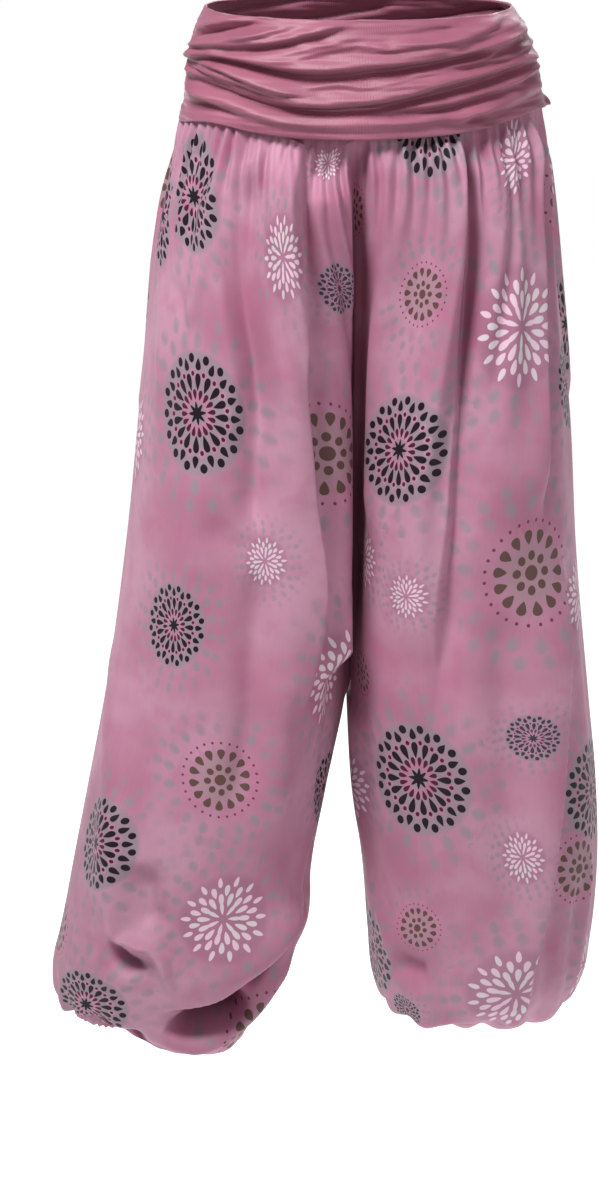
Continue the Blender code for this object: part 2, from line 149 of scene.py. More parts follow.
RIGHT_FOLDS = folds("front",
    (76.5, 71.8, 68, 0, 530, 12, 45, 9),
    (86, 85, 80, 30, 460, -8, 20, 22),
    (62, 57.5, 56.5, 20, 630, -6.5, 16, 20),
    (44, 43, 40, 50, 420, 5, 24, 20),
    (6, 25, 34, 500, 800, 3, 18, 34),
) + folds("back",
    (25, 24, 22, 60, 550, 8, 30, 18),
    (45, 48, 50, 30, 700, -7, 20, 20),
    (72, 70, 68, 20, 560, 11, 38, 12),
    (30, 32, 36, 550, 860, -6, 24, 24),
)
LEFT_FOLDS = folds("front",
    (62.5, 63, 61, 0, 550, 7.5, 10, 40),
    (57.5, 58, 55, 0, 520, -6, 14, 12),
    (52, 52.5, 51.5, 20, 400, 5.5, 20, 16),
    (22, 30, 34.5, 0, 340, 7, 10, 32),
    (24.5, 33.5, 38.5, 460, 860, 7, 12, 45),
) + folds("back",
    (20, 22, 24, 40, 500, 8, 24, 20),
    (42, 40, 38, 20, 720, -7, 20, 22),
    (70, 69, 66, 30, 600, 10, 34, 12),
    (56, 54, 52, 500, 880, -6, 24, 20),
)

# Finer creases: the height of the crest, how far it spreads to the left and to the right
# of its direction, seen from outside with the side seam on the left, and its path.
# Some of the front's paths, and most front ridges' ones, were worked out by a program from
# points picked on the photo, then moved one by one.
Crease = namedtuple("Crease", "face height left right path")
# An edge where cloth lies over cloth: it rises over `lead` on the right of its path, drops
# at once on the left, and comes back over `far`.
Pleat = namedtuple("Pleat", "face height lead far path")
PLEAT_EDGE = 0.0055        # width of that drop
PLEAT_TAPER = 0.070        # their ends die out over this length
CREASE_TAPER = 0.045
CREASE_AT_TOP = 0.35       # share of their height that is left at the yoke seam
TOP_FADE = 0.030           # cloth below the seam over which it comes back


def creases(face, *rows):
    return tuple(Crease(face, *scaled(row[:3], MM), path_of(row[3:], MM)) for row in rows)


def pleats(face, *rows):
    return tuple(Pleat(face, *scaled(row[:3], MM), path_of(row[3:], MM)) for row in rows)


RIGHT_CREASES = creases("front",
    # pouch: cloth above bulges over, tucks in, and the lip below comes forward
    (12, 20, 40, (82, 733), (76, 749), (69, 771), (60, 790), (50, 802)),
    (-11, 24, 20, (97, 690), (93, 720), (88, 745)),
    (-26, 10, 6, (91, 732), (87, 747), (78, 767), (70, 798), (65.5, 823), (60, 837),
     (54.7, 843), (49, 844)),
    (10, 7, 12, (88, 785), (81, 812), (75, 845), (69, 870), (60, 884), (52, 888)),
    # side crest that ends in the dimple
    (8, 12, 30, (27, 620), (30, 700), (31.8, 745)),
    (12.5, 6, 4.5, (30.8, 722), (32.3, 755), (37.5, 765), (43.7, 773), (47.3, 791), (51, 815)),
    (-17.5, 5, 8, (31.8, 762), (35, 777), (39, 784), (43, 789)),
    (-17, 18, 22, (37, 680), (39.5, 725), (44.5, 752)),
    (4, 8, 14, (31, 800), (36, 806), (43, 800)),
    (4.5, 18, 30, (15, 520), (24, 610), (30, 680), (33, 760)),
    # a V of two small ones on the thigh
    (-3.8, 8, 8, (30.7, 138), (37, 163), (41, 198)),
    (4.2, 7, 7, (44.8, 118), (43, 158), (39.7, 186)),
    (3.6, 12, 10, (24, 140), (28, 190), (29, 260)),
    # long hollow left of the pleat, and the soft roll between the two
    (-12.5, 11, 18, (56, 30), (61.7, 80), (62.7, 133), (63, 190), (60.3, 245), (57.7, 300),
     (55, 370)),
    (4.2, 12, 12, (50, 20), (54.5, 100), (55, 200), (52, 290)),
    (4, 12, 14, (70, 110), (69, 190), (66, 280), (65, 360)),
    (-5.5, 20, 18, (56, 400), (54.5, 480), (56, 560), (59, 620)),
    (4, 30, 30, (42, 300), (43, 420), (42, 560)),
    (-3.4, 14, 14, (42, 360), (50, 372), (57, 380)),
    (5, 14, 24, (62, 500), (66, 600), (72, 680)),
    (-7, 18, 22, (80, 490), (84, 570), (90, 660)),
    # full corner of the strip beyond the pleat, and the hem's lift over the foot
    (24, 32, 30, (87, 20), (88, 100), (86.5, 200), (84, 300), (80.5, 420), (79, 520)),
    (-18, 28, 26, (22, 900), (34, 912), (46, 920), (58, 928)),
    # wall of the deep hollow between the legs
    (-6, 30, 34, (97.5, 140), (96, 260), (92.5, 380), (90, 520), (90, 620)),
) + pleats("front",
    (9.5, 26, 16, (90.5, 736), (87, 746), (78, 764), (70, 793), (65.5, 816), (60, 831),
     (55, 838)),
    (8.5, 34, 22, (76, -20), (78.2, 35), (79.3, 98), (75, 183), (70.8, 248), (68.8, 336),
     (69.8, 406), (70.5, 490)),
) + creases("back",
    (6.5, 14, 12, (15, 10), (17, 150), (16, 320)),
    (-7, 12, 14, (34, 10), (35, 200), (33, 400), (30, 550)),
    (6, 14, 16, (58, 10), (59, 180), (60, 380)),
    (-7.5, 12, 10, (84, 10), (83, 200), (80, 420), (78, 600)),
    (8, 24, 14, (88, 600), (76, 720), (62, 800), (48, 840)),
    (-15, 14, 9, (86, 680), (76, 770), (62, 835), (50, 860)),
    (6, 10, 18, (12, 660), (22, 740), (30, 800)),
    (-5.5, 14, 14, (42, 400), (44, 500), (40, 600)),
) + pleats("back",
    (5, 30, 22, (70, -20), (71.2, 100), (69.5, 220), (66, 360), (65, 480)),
    (4.5, 26, 20, (27, 400), (26.2, 280), (25, 140), (24, -20)),
)
# Hollow and lap of the right pouch, pushed straight back: how far instead of the height.
RIGHT_HOLLOWS = creases("front",
    (54, 5.2, 5, (85, 748), (79, 768), (74.5, 793), (72, 812)),
    (80, 8.5, 7.5, (71.5, 819), (69, 833), (65.5, 845), (61, 854), (56, 859), (52, 858)),
)
LEFT_CREASES = creases("front",
    (-11, 18, 14, (74.5, 797), (69, 806), (63, 802)),
    (6, 26, 16, (78, 765), (70, 772), (60, 770)),
    (5, 12, 22, (76, 826), (69, 836), (60, 828)),
    (4, 7, 12, (80, 740), (77.5, 785), (75, 815)),
    (-4, 14, 16, (77, 50), (75, 120), (74, 200), (73.5, 260)),
    (4, 20, 22, (84, 50), (84, 180), (80, 300), (74, 400)),
    (4.5, 16, 20, (42, 20), (44, 160), (45, 300), (44, 420)),
    (-4.5, 14, 16, (35, 20), (37, 140), (38.5, 280)),
    (-4, 20, 24, (60, 460), (62, 560), (60, 680)),
    (4.5, 24, 24, (50, 460), (52, 600), (50, 740), (49, 860)),
    (-5.5, 20, 20, (42, 440), (42, 560), (44, 700), (46, 800)),
    (-5, 16, 18, (80, 500), (82, 620), (86, 740)),
    (5, 18, 20, (88, 560), (87, 680), (82, 800)),
    (4, 8, 10, (17, 700), (20, 780), (21, 860)),
    (-5, 8, 10, (22, 720), (24, 800), (24, 880)),
    # wall of the deep hollow between the legs
    (-6, 34, 22, (97.5, 100), (95.5, 200), (93, 300), (90.5, 400), (88.5, 500), (88, 580)),
    (5, 10, 14, (90, -10), (90.5, 80), (89, 180), (85, 280), (80, 380)),
    (-9.5, 24, 24, (37, 890), (46, 882), (60, 888)),
) + pleats("front",
    (7, 42, 18, (58.5, 500), (58, 430), (57.3, 356), (58.3, 301), (59, 246), (60.3, 193),
     (60.7, 145), (60, 65), (55, -20)),
    (6, 30, 34, (32.5, 360), (33.3, 253), (32.2, 190), (30, 128), (29, 75), (25, 30),
     (18, -20)),
    (10.5, 38, 34, (39.5, 830), (39, 797), (37.6, 759), (35.8, 717), (31.8, 639), (28.5, 539),
     (26.2, 463), (24, 400)),
) + creases("back",
    (6.5, 14, 12, (14, 10), (13, 160), (15, 300)),
    (-7, 14, 12, (30, 10), (31, 180), (30, 360), (27, 520)),
    (6, 16, 14, (55, 10), (56, 200), (55, 420)),
    (-7.5, 10, 14, (80, 10), (79, 180), (80, 380), (82, 560)),
    (6.5, 22, 16, (34, 540), (36, 680), (40, 840)),
    (-7, 14, 18, (72, 520), (73, 680), (70, 860)),
    (6, 18, 22, (86, 500), (87, 660), (84, 820)),
    (-7.5, 16, 16, (62, 800), (55, 812), (48, 806)),
) + pleats("back",
    (5, 30, 22, (68, -20), (70, 120), (69, 260), (67, 420), (66, 550)),
    (4.5, 26, 20, (32, 460), (29, 300), (26.2, 140), (25, -20)),
)

# Pleats drawn in by the yoke seam or by the ankle elastic: place at the seam and where it
# ends, how far it runs, its depth and its width at the seam.
Gather = namedtuple("Gather", "place end reach depth width")
GATHER_WIDENS = 1.9        # how much wider it is where it ends
GATHER_FALL = 2.2          # more makes it die out later and faster
BANK_HEIGHT = 0.45         # cloth beside it stands up, by this share of its depth
BANK_AWAY = 2.1            # and this many widths away
GATHER_AT_TOP = 0.22       # share of its depth that is left at the yoke seam


def gathers(*rows):
    return tuple(Gather(*scaled(row[:2], HUNDREDTH), *scaled(row[2:], MM)) for row in rows)


RIGHT_FRONT_GATHERS = gathers(
    (3.5, 6, 122, 5.4, 2.8), (8, 10, 78, 4.6, 2.1), (13, 15, 155, 5.7, 2.9),
    (19, 20, 87, 4, 2.3), (24.5, 27, 139, 5.1, 2.8), (31, 33, 70, 4.3, 2.3),
    (35.5, 37.2, 104, 5.4, 2.6), (41, 38.5, 90, 6, 3.1), (46, 54.5, 148, 8.4, 2.6),
    (49.5, 52, 70, 4, 1.9), (52.5, 62.5, 296, 8.9, 3.8), (56.5, 61.2, 104, 6.7, 2.3),
    (60, 64, 61, 4.6, 2.1), (62.8, 71.4, 209, 7.5, 2.6), (66.2, 70, 87, 5.4, 2.1),
    (69.7, 73.5, 104, 6.7, 2.3), (73.5, 76.5, 70, 4.6, 2.1), (78, 82.6, 192, 6.4, 3.1),
    (83, 85, 87, 4.8, 2.1), (88, 91.5, 209, 6.4, 2.8), (91.5, 93, 70, 4.3, 2.1),
    (93.8, 99.2, 261, 6.7, 2.6),
)
LEFT_FRONT_GATHERS = gathers(
    (3, 5, 104, 5.4, 2.8), (9.5, 25.5, 244, 9.3, 3.1), (14, 19, 87, 4.8, 2.1),
    (20, 26.2, 90, 6.1, 2.3), (26.2, 33, 104, 6.1, 2.3), (31.5, 35, 70, 4.6, 2.1),
    (35, 40, 122, 5.4, 2.3), (38.8, 48, 209, 9.1, 2.6), (42.2, 49.2, 139, 6.4, 2.6),
    (45.5, 50, 70, 4.6, 2.1), (48.5, 55.2, 148, 6.7, 2.8), (52, 57, 87, 4.8, 2.1),
    (55.5, 60.6, 348, 6.7, 2.8), (61, 62.5, 70, 4.8, 2.1), (65.5, 67.2, 113, 6, 2.6),
    (70, 75.2, 174, 7.1, 2.9), (73.5, 74.5, 78, 4.6, 2.1), (76.8, 79.2, 155, 6.7, 2.8),
    (82.5, 84.2, 104, 5.4, 2.3), (86.5, 87, 70, 4.6, 2.3), (90.3, 90.5, 183, 6.1, 2.8),
    (95.5, 96, 122, 4.8, 2.3),
)
RIGHT_BACK_GATHERS = gathers(
    (4.5, 6, 139, 6, 2.9), (10, 9, 78, 4.6, 2.1), (14, 16.5, 244, 7.5, 2.9),
    (19.5, 20.5, 96, 4.8, 2.3), (24, 25, 174, 6.7, 2.8), (29, 30, 70, 4.6, 2.1),
    (33.5, 35, 278, 7.8, 3.1), (38.5, 38, 104, 5.4, 2.3), (42.5, 44.5, 155, 6.4, 2.6),
    (47.5, 48, 78, 4.6, 2.1), (51.5, 52, 226, 7.5, 2.9), (56, 57, 87, 4.8, 2.3),
    (60.5, 60, 155, 6.1, 2.8), (65, 66.5, 261, 7.8, 2.9), (70, 70, 87, 4.8, 2.1),
    (74.5, 75.5, 192, 6.7, 2.8), (80, 79.5, 104, 5.4, 2.3), (84.5, 85, 244, 7.5, 2.9),
    (89.5, 90, 87, 4.8, 2.1), (94, 94.5, 155, 6, 2.8),
)
LEFT_BACK_GATHERS = tuple(
    Gather(1 - 0.96 * g.place, 1 - 0.96 * g.end, g.reach * (0.8 + 0.5 * g.place), g.depth, g.width)
    for g in RIGHT_BACK_GATHERS)
# scallops of the hem
RIGHT_HEM = gathers(
    (4, 5, 60, 6, 4), (10.5, 10, 90, 7.5, 4.6), (16.5, 16, 45, 5, 3.2), (21.5, 20.5, 80, 7, 4),
    (27.5, 26.2, 50, 5.6, 3.4), (33, 33, 70, 6.4, 4), (39, 37.2, 45, 5, 3.2),
    (45, 45.5, 85, 7.2, 4.2), (52, 53, 50, 5.2, 3.4), (58.5, 60, 60, 5, 4),
    (65, 67, 50, 5, 3.6), (72, 73, 60, 5.4, 4), (79, 81, 45, 5, 3.4), (86, 88, 70, 5.6, 4.2),
    (93, 94, 45, 4.8, 3.4),
)
LEFT_HEM = gathers(
    (5, 4.5, 70, 6, 4.2), (11.5, 11, 50, 6, 3.4), (18, 16.5, 100, 9, 4.6),
    (25, 24, 60, 6.4, 3.6), (32.5, 34.5, 95, 9, 4.8), (40, 40.5, 45, 5.2, 3.2),
    (47, 46.5, 75, 7.2, 4.4), (53.5, 54, 50, 5.6, 3.4), (60, 59, 80, 8, 5),
    (66.5, 66, 45, 5.2, 3.2), (73, 72.5, 80, 8, 4.6), (79.5, 79, 60, 6.4, 3.6),
    (86.5, 87, 85, 7.4, 4.4), (94, 94.5, 50, 5.6, 3.6),
)
HEM_CALM = 0.55            # how much of them the elastic flattens
HEM_EDGE = 0.008           # over this last length of cloth
FINE_PUCKERS = 34          # very small ones between them
FINE_PUCKER_DEPTH = 0.0022
DRAPES = 9                 # soft hand-sized folds between the named ones
DRAPE_HEIGHT = 0.0026

# ---- yoke and band ----
Girth = namedtuple("Girth", "z right left front back")


def girths(*rows):
    return tuple(Girth(*scaled(row, MM)) for row in rows)


YOKE_GIRTHS = girths(
    (0, -139, 141, -96, 96),
    (-24, -149, 154, -102, 104),
    (-42, -153, 161, -105, 110),
    (-60, -156, 166, -108, 116),
    (-79, -158, 168, -109, 120),
    (-118, -160, 171, -112, 122),
)
HALF_GIRTH = 0.395         # of the yoke, for the ridges' lengths
BAND_TOP_INSET = 0.0022
BAND_LOW_INSET = 0.0045
BAND_TURN = 1.12           # its edge goes on inside the legs, this share of its depth
BAND_WALL = 0.0012         # the sheet lies this far inside the solid's outer face
BAND_PUCKER = 0.0006
CASING_WALL = 0.0010
CASING_BULGE = 0.0012
CASING_PUCKER = 0.0011
CASING_WAVE = 0.0006       # how much its edges go up and down
CASING_PUCKERS = 44
YOKE_DEPTH = (0.1055, 0.1075, 0.0955)
TOP_DIP = 0.003
HANG_POWER = 0.8
HEM_RISE = 0.0095          # the front hem is this much higher near both sides
HEM_RISES = ((0.20, 0.13), (0.86, 0.15))    # middle and half width of both stretches
YOKE_LIFT = 0.0008         # the jersey's least distance from the girth
SIDE_ENDS = ((0.04, 0.12), (0.10, 0.11))    # ridges left at each side seam, and their run
SIDE_MARGIN = 0.01
HEM_FLARE = 0.0040
HEM_FLARE_FROM = 0.80
TOP_TURN = 0.0012
TOP_TURN_DEPTH = 0.05
JERSEY_WRINKLE = 0.00045
NUB = 0.0045               # corner of the seam allowance at the wearer's left
ALLOWANCE_BACK = 0.0020    # the back's seam allowance lies this far inside the front
ALLOWANCE_IN = 0.0010

# A ridge of the ruched jersey: height, spread above and below, and its path as
# (across from the wearer's right seam, share of the yoke's depth).
Ridge = namedtuple("Ridge", "height above below path")


def ridges(*rows):
    return tuple(Ridge(*scaled(row[:3], MM), path_of(row[3:], HUNDREDTH)) for row in rows)


FRONT_RIDGES = ridges(
    (6.4, 6, 2.6, (-2, 25), (5, 20), (9, 16), (20, 6), (26, 1)),
    (4.1, 4, 2.2, (18, 19), (26, 18), (34, 10), (39, 5)),
    (7.2, 6.2, 2.4, (-2, 31), (14, 29), (25, 25), (36, 18), (43, 9), (49, 2)),
    (8.7, 8.5, 2.6, (-2, 44), (9, 39), (18, 36), (27, 37), (36, 40), (43, 41), (51, 37),
     (60, 33.5), (67, 30), (76, 25), (86, 21), (102, 20)),
    (5.2, 5.5, 2.4, (49, 26), (58, 22.5), (68, 17), (75, 10), (84, 3)),
    (8.5, 7.5, 2.4, (-2, 38), (8, 42), (22, 48), (30, 55), (36, 60), (43, 63.5)),
    (9.9, 8, 3, (-2, 49), (10, 54), (23, 60), (30, 65), (37, 69), (44, 70), (51, 66.5),
     (58, 60), (64, 53), (70, 50), (78, 47), (88, 47), (102, 51)),
    (6.8, 6.5, 2.8, (54, 74), (62, 72), (70, 68), (80, 64), (91, 59), (102, 60)),
    (6.4, 9.5, 5, (-2, 66), (11, 72), (22, 78), (30, 83), (40, 87), (51, 87), (60, 85),
     (72, 83), (86, 78), (102, 76)),
    (4.9, 4.5, 2.2, (62, 41.5), (70, 39), (78, 31), (86, 27)),
    (4.1, 5, 2.6, (56, 30), (64, 26), (74, 17), (83, 13), (93, 10)),
    (4.9, 5, 2.6, (80, 38), (88, 36), (96, 33), (102, 32)),
    # short fine ones between
    (3.9, 4.6, 2.2, (2, 27), (8.7, 22), (20, 11), (28, 4.5)),
    (3.9, 4.8, 2.2, (7, 31), (13.3, 28), (23.7, 22), (30.3, 16), (36.3, 9)),
    (3, 4.4, 2.2, (28, 33), (36.7, 29), (42, 23), (47.3, 17), (52, 11)),
    (3, 4.6, 2.4, (30, 38), (38.3, 33), (44.3, 25), (49, 21), (54, 14)),
    (2.8, 3, 2, (49, 24), (51.3, 22), (54.5, 23)),
    (3.4, 4.6, 2.2, (54, 20), (63.3, 19), (70.3, 13), (74, 8)),
    (3.9, 4.8, 2.2, (60, 24), (69, 18), (77, 11), (85, 5)),
    (3.7, 4.6, 2.2, (64, 33), (71.3, 30), (80.7, 26), (93, 27)),
    (3.4, 4.6, 2.4, (69, 41.5), (78.3, 41), (93, 43)),
    (3.2, 4, 2.2, (46, 60), (53.3, 53), (59.7, 46), (67, 42)),
    (2.8, 3.6, 2, (50, 60), (56.3, 54.5), (63, 51.5)),
    (2.5, 3.6, 2, (40, 58), (45.3, 54), (51, 55)),
    (3.2, 5, 2.4, (8, 70), (17, 77), (24, 86)),
    (3, 4.6, 2.2, (63, 90), (69.7, 86), (76, 85)),
    (2.5, 4, 2.2, (57, 7.5), (64, 6), (71, 5)),
    # hollows
    (-4.9, 2.8, 3, (6, 27), (10, 23), (16, 17), (24, 10), (31, 4)),
    (-4.1, 2.6, 3, (19, 34), (28, 30), (34, 24), (40, 16), (46, 10)),
    (-5.6, 2.4, 4.2, (7, 43), (20, 42), (27, 43), (33, 45), (40, 48), (46, 47), (52, 43),
     (60, 39.5), (68, 34.5), (75, 30)),
    (-7.9, 2.4, 4, (8, 49), (14, 54), (20, 58.5), (27, 62), (33, 66.5), (39, 69)),
    (-6.8, 2.6, 4.5, (10, 61), (18, 66.5), (26, 71), (34, 75.5), (41, 76.5), (47, 76), (54, 71),
     (61, 65), (68, 60.5), (76, 57), (85, 54)),
    (-4.6, 2.4, 3.4, (63, 46), (70, 44), (77, 43), (86, 40), (94, 38)),
    (-4.9, 2.6, 3.6, (50, 80), (57, 79), (64, 76), (70, 72), (78, 70)),
    (-3.8, 2.4, 3.4, (11, 78), (17, 83), (23, 87), (29, 90)),
    (-3, 2.2, 3, (66, 91), (71, 88), (76, 85)),
)
BACK_RIDGES = ridges(
    (6.1, 6, 2.6, (-2, 16), (12, 15), (28, 10), (42, 3)),
    (6.8, 6.5, 2.6, (-2, 30), (14, 31), (30, 28), (46, 19), (58, 8)),
    (8.7, 8.5, 2.8, (-2, 42), (16, 46), (34, 45), (50, 39), (68, 31), (84, 24), (102, 20)),
    (5.6, 6, 2.6, (48, 28), (62, 22), (76, 13), (90, 6)),
    (9.5, 8, 3, (-2, 50), (12, 57), (28, 63), (44, 64), (58, 57), (72, 48), (88, 42),
     (102, 40)),
    (7.6, 7, 2.8, (40, 75), (56, 74), (70, 66), (86, 59), (102, 55)),
    (6.8, 9, 4.5, (-2, 68), (14, 74), (30, 82), (46, 86), (64, 84), (82, 78), (102, 73)),
    (-5.6, 2.6, 4, (6, 36), (20, 37), (34, 35), (46, 28)),
    (-6.4, 2.6, 4.2, (8, 51), (22, 54), (38, 53), (52, 47), (66, 40)),
    (-6.8, 2.6, 4.2, (10, 65), (26, 71), (42, 71), (56, 66), (70, 57), (84, 51)),
    (-4.6, 2.4, 3.4, (50, 81), (62, 79), (76, 72), (88, 68)),
    (-4.1, 2.4, 3.4, (60, 28), (74, 21), (88, 15)),
)

# ---- print: a row per flower ----
FLAT_WIDTH = 0.41          # a leg panel before it is gathered
YOKE_CLOTH = 0.12          # the other pieces' depths, as shares of a leg's length of cloth
BAND_CLOTH = 0.05
CASING_CLOTH = 0.02
OUT_OF_REACH = 9.0         # distance given to a flower that is beyond the pleat edge
NAVY, BROWN, WHITE = 1, 2, 3
PALE_NAVY = 1.3
MASTER_RADIUS = {NAVY: 0.055, PALE_NAVY: 0.055, BROWN: 0.051, WHITE: 0.0385}
# `only` keeps a flower to the cloth before (-1) or beyond (1) the pleat edge. `lean` turns
# its length upright again where the gathered cloth leans. `narrow` is the share of its
# width that a small tuck leaves to be seen.
Flower = namedtuple("Flower", "across run kind radius turn only lean narrow",
                    defaults=(0, 0.0, 1.0))
PrintEdge = namedtuple("PrintEdge", "run across")


def flowers(*rows):
    return tuple(Flower(across * HUNDREDTH, run * MM, kind, radius * MM, *rest)
                 for across, run, kind, radius, *rest in rows)


def print_edge(*rows):
    return tuple(PrintEdge(run * MM, across * HUNDREDTH) for run, across in rows)


RIGHT_PRINT_EDGE = print_edge(
    (-20, 76.8), (35, 79), (98, 80.1), (183, 75.8), (248, 71.6), (336, 69.6), (406, 70.6),
    (490, 71.3),
)
LEFT_PRINT_EDGE = print_edge(
    (-20, 17.2), (30, 24.2), (75, 28.2), (128, 29.2), (190, 31.4), (253, 32.5), (360, 31),
    (400, 23.2), (463, 25.4), (539, 27.7), (639, 31), (717, 35), (797, 38.4), (890, 39.2),
)
RIGHT_FRONT_PRINT = flowers(
    (34.8, 64, NAVY, 50, 0, 0, 0.55, 1.06), (10, 92, NAVY, 45, 0.3, 0, 0.8),
    (72, 112, WHITE, 39, 0.1, -1, -0.1, 0.56), (89, 145, PALE_NAVY, 24.5, 0.2, 1),
    (88.5, 13, WHITE, 16.5, 0.4, 1, 0, 1.35), (43.3, 258, NAVY, 54, 0.1, 0, 0, 0.92),
    (77, 300, BROWN, 50, 0, 1), (57.7, 393, WHITE, 22, 0.5, 0, 0, 0.8),
    (36.3, 455, NAVY, 38, 0.2, 0, 0, 0.82), (78.6, 516, WHITE, 47, 0.2, 0, 0.15, 0.75),
    (51.5, 599, BROWN, 38, 0.1, 0, 0.3), (3.5, 539, WHITE, 24, 0.3), (24.3, 674, NAVY, 43, 0),
    (58.5, 734, WHITE, 40, 0), (28.7, 860, NAVY, 51, 0.1), (78.8, 858, BROWN, 42, 0.2),
    (8.5, 300, WHITE, 40, 0.2), (5, 790, BROWN, 36, 0.4), (96, 420, BROWN, 30, 0.4),
    (93, 640, NAVY, 34, 0.1),
)
LEFT_FRONT_PRINT = flowers(
    (68.5, -12, NAVY, 56, 0, 0, 0.25), (37, 37, WHITE, 27, 0.1, 0, 0.65),
    (72.3, 149, BROWN, 31, 0), (41.2, 182, WHITE, 52, 0.3, 1), (71.3, 293, NAVY, 50, 0),
    (35.5, 408, BROWN, 51, 0.1), (64.5, 428, WHITE, 20, 0.2), (83, 408, WHITE, 28, 0.4),
    (84, 519, BROWN, 25, 0), (63.8, 609, NAVY, 55, 0.1, 0, 0, 0.92),
    (37, 564, PALE_NAVY, 22, 0.3), (13, 644, NAVY, 50, 0.2, -1),
    (22.8, 714, BROWN, 36, 0.2, -1), (41.2, 684, WHITE, 25, 0.1, 1, 0, 0.68),
    (66.2, 762, BROWN, 24, 0.2), (88.5, 812, NAVY, 50, 0), (42.5, 825, WHITE, 46, 0.2, 1),
    (72, 865, NAVY, 22, 0.4), (100, 75, BROWN, 30, 0.3, 0, 0, 0.6), (4, 85, BROWN, 40, 0.1),
    (12, 250, NAVY, 40, 0.1), (11, 450, WHITE, 34, 0.2), (12, 830, WHITE, 36, 0),
    (90, 640, WHITE, 34, 0.3),
)
RIGHT_BACK_PRINT = flowers(
    (10, 60, BROWN, 44, 0.1), (36, 40, WHITE, 40, 0.2), (64, 90, NAVY, 52, 0),
    (90, 50, BROWN, 30, 0.3), (22, 190, NAVY, 50, 0.2), (48, 210, BROWN, 38, 0),
    (80, 240, WHITE, 46, 0.1), (8, 330, WHITE, 26, 0.4), (42, 350, WHITE, 48, 0.1),
    (66, 370, NAVY, 24, 0.2), (90, 400, NAVY, 46, 0.1), (17, 450, NAVY, 40, 0),
    (55, 490, NAVY, 52, 0.3), (82, 560, BROWN, 44, 0.2), (30, 580, BROWN, 50, 0.1),
    (8, 640, NAVY, 24, 0.2), (60, 650, WHITE, 42, 0.3), (89, 720, NAVY, 44, 0),
    (22, 740, WHITE, 48, 0), (46, 790, NAVY, 48, 0.1), (73, 840, BROWN, 40, 0.3),
    (12, 870, BROWN, 32, 0.1),
)
LEFT_BACK_PRINT = flowers(
    (9, 50, WHITE, 38, 0.2), (35, 80, NAVY, 52, 0.1), (65, 40, BROWN, 40, 0.2),
    (88, 110, WHITE, 44, 0), (13, 210, NAVY, 44, 0.3), (56, 200, WHITE, 50, 0.1),
    (34, 270, BROWN, 36, 0), (85, 290, BROWN, 46, 0.2), (11, 380, BROWN, 48, 0.1),
    (60, 360, NAVY, 50, 0.2), (36, 430, WHITE, 30, 0.4), (87, 470, NAVY, 40, 0),
    (17, 560, WHITE, 46, 0.2), (48, 560, BROWN, 42, 0.1), (74, 610, WHITE, 44, 0.3),
    (30, 680, NAVY, 50, 0), (56, 720, NAVY, 26, 0.2), (90, 740, BROWN, 38, 0.1),
    (11, 780, BROWN, 40, 0), (42, 840, WHITE, 44, 0.2), (70, 830, NAVY, 46, 0.1),
    (16, 900, NAVY, 30, 0.3),
)
CASING_PRINT = flowers(
    (10, 952, NAVY, 30, 0), (42, 952, BROWN, 30, 0), (75, 952, WHITE, 30, 0)
)

# A ring of equal spots in a flower: how many, turned by what share of a spot, the ring's
# radius, half a spot's length and width, and how much it narrows inwards.
Spots = namedtuple("Spots", "count phase radius length width taper")


def spots_of(*rows):
    return tuple(Spots(count, phase, *scaled(sizes[:3], MM), sizes[3] if sizes[3:] else 0.0)
                 for count, phase, *sizes in rows)


NAVY_SPOTS = spots_of(
    (1, 0.5, 0, 5.6, 5.6), (8, 0, 6.6, 4.6, 1.9, -0.35), (16, 0.5, 28.8, 8.2, 3.3, 0.6),
    (16, 0, 50.8, 4.4, 4.2), (16, 0.5, 45.5, 5.8, 3.4, -0.55)
)
PLUM_SPOTS = spots_of((16, 0, 17.2, 5, 2.3, 0.55), (16, 0, 36.6, 2.4, 2.3))
BLUSH_SPOTS = spots_of((16, 0, 36.6, 5, 5))
BROWN_SPOTS = spots_of((1, 0.5, 0, 7.4, 7.4), (8, 0.1, 16.4, 4.6, 4.4),
                       (14, 0, 33.8, 6.8, 4.6, 0.55))
BROWN_RAYS = spots_of((14, 0.5, 37, 13, 3))
BROWN_BEADS = spots_of((28, 0, 48.8, 1.8, 1.8))
WHITE_SPOTS = spots_of(
    (7, 0, 10, 5.8, 1.9, 0.35), (14, 0, 18.2, 6.2, 2.5, 0.35),
    (14, 0.5, 26.8, 5.2, 2.6, 0.3), (14, 0, 35, 4.8, 2.3, -0.2)
)
# soft grey spots round each flower, and round the next one to it
HALO_SPOTS = spots_of((18, 0, 68, 8.8, 8.4), (22, 0.3, 85, 8.4, 8.2), (26, 0.1, 102, 7.8, 7.6))
HALO_BLURS = (0.0062, 0.0062, 0.0060)
HALO_STRENGTHS = (0.90, 0.80, 0.30)
FAR_SPOTS = spots_of((20, 0, 74, 8, 7.8))
FAR_BLUR = 0.0062
FAR_STRENGTH = 0.50
# grounds that flowers stand on: distances between which they rise, and fall again
NAVY_BAND = ((0.016, 0.022), (0.040, 0.036))
NAVY_RIM = ((0.034, 0.036), (0.061, 0.054))
BROWN_BAND = ((0.0, 0.004), (0.043, 0.036))
SPOT_BLUR = 0.00045
BLUSH_BLUR = 0.0022
RAY_BLUR = 0.002
PAINTED_SHADE_RUNS = (0.48, 0.80)  # cloth length where the painted shade towards the ankles starts to deepen, and ends
PAINTED_SHADE_ABOVE = 1.04            # tone above, and below
PAINTED_SHADE_BELOW = 0.89

# ---- colours ----

def srgb(*colour):
    out = []
    for value in colour:
        value /= 255
        out.append(value / 12.92 if value <= 0.04045 else ((value + 0.055) / 1.055) ** 2.4)
    return (*out, 1.0)


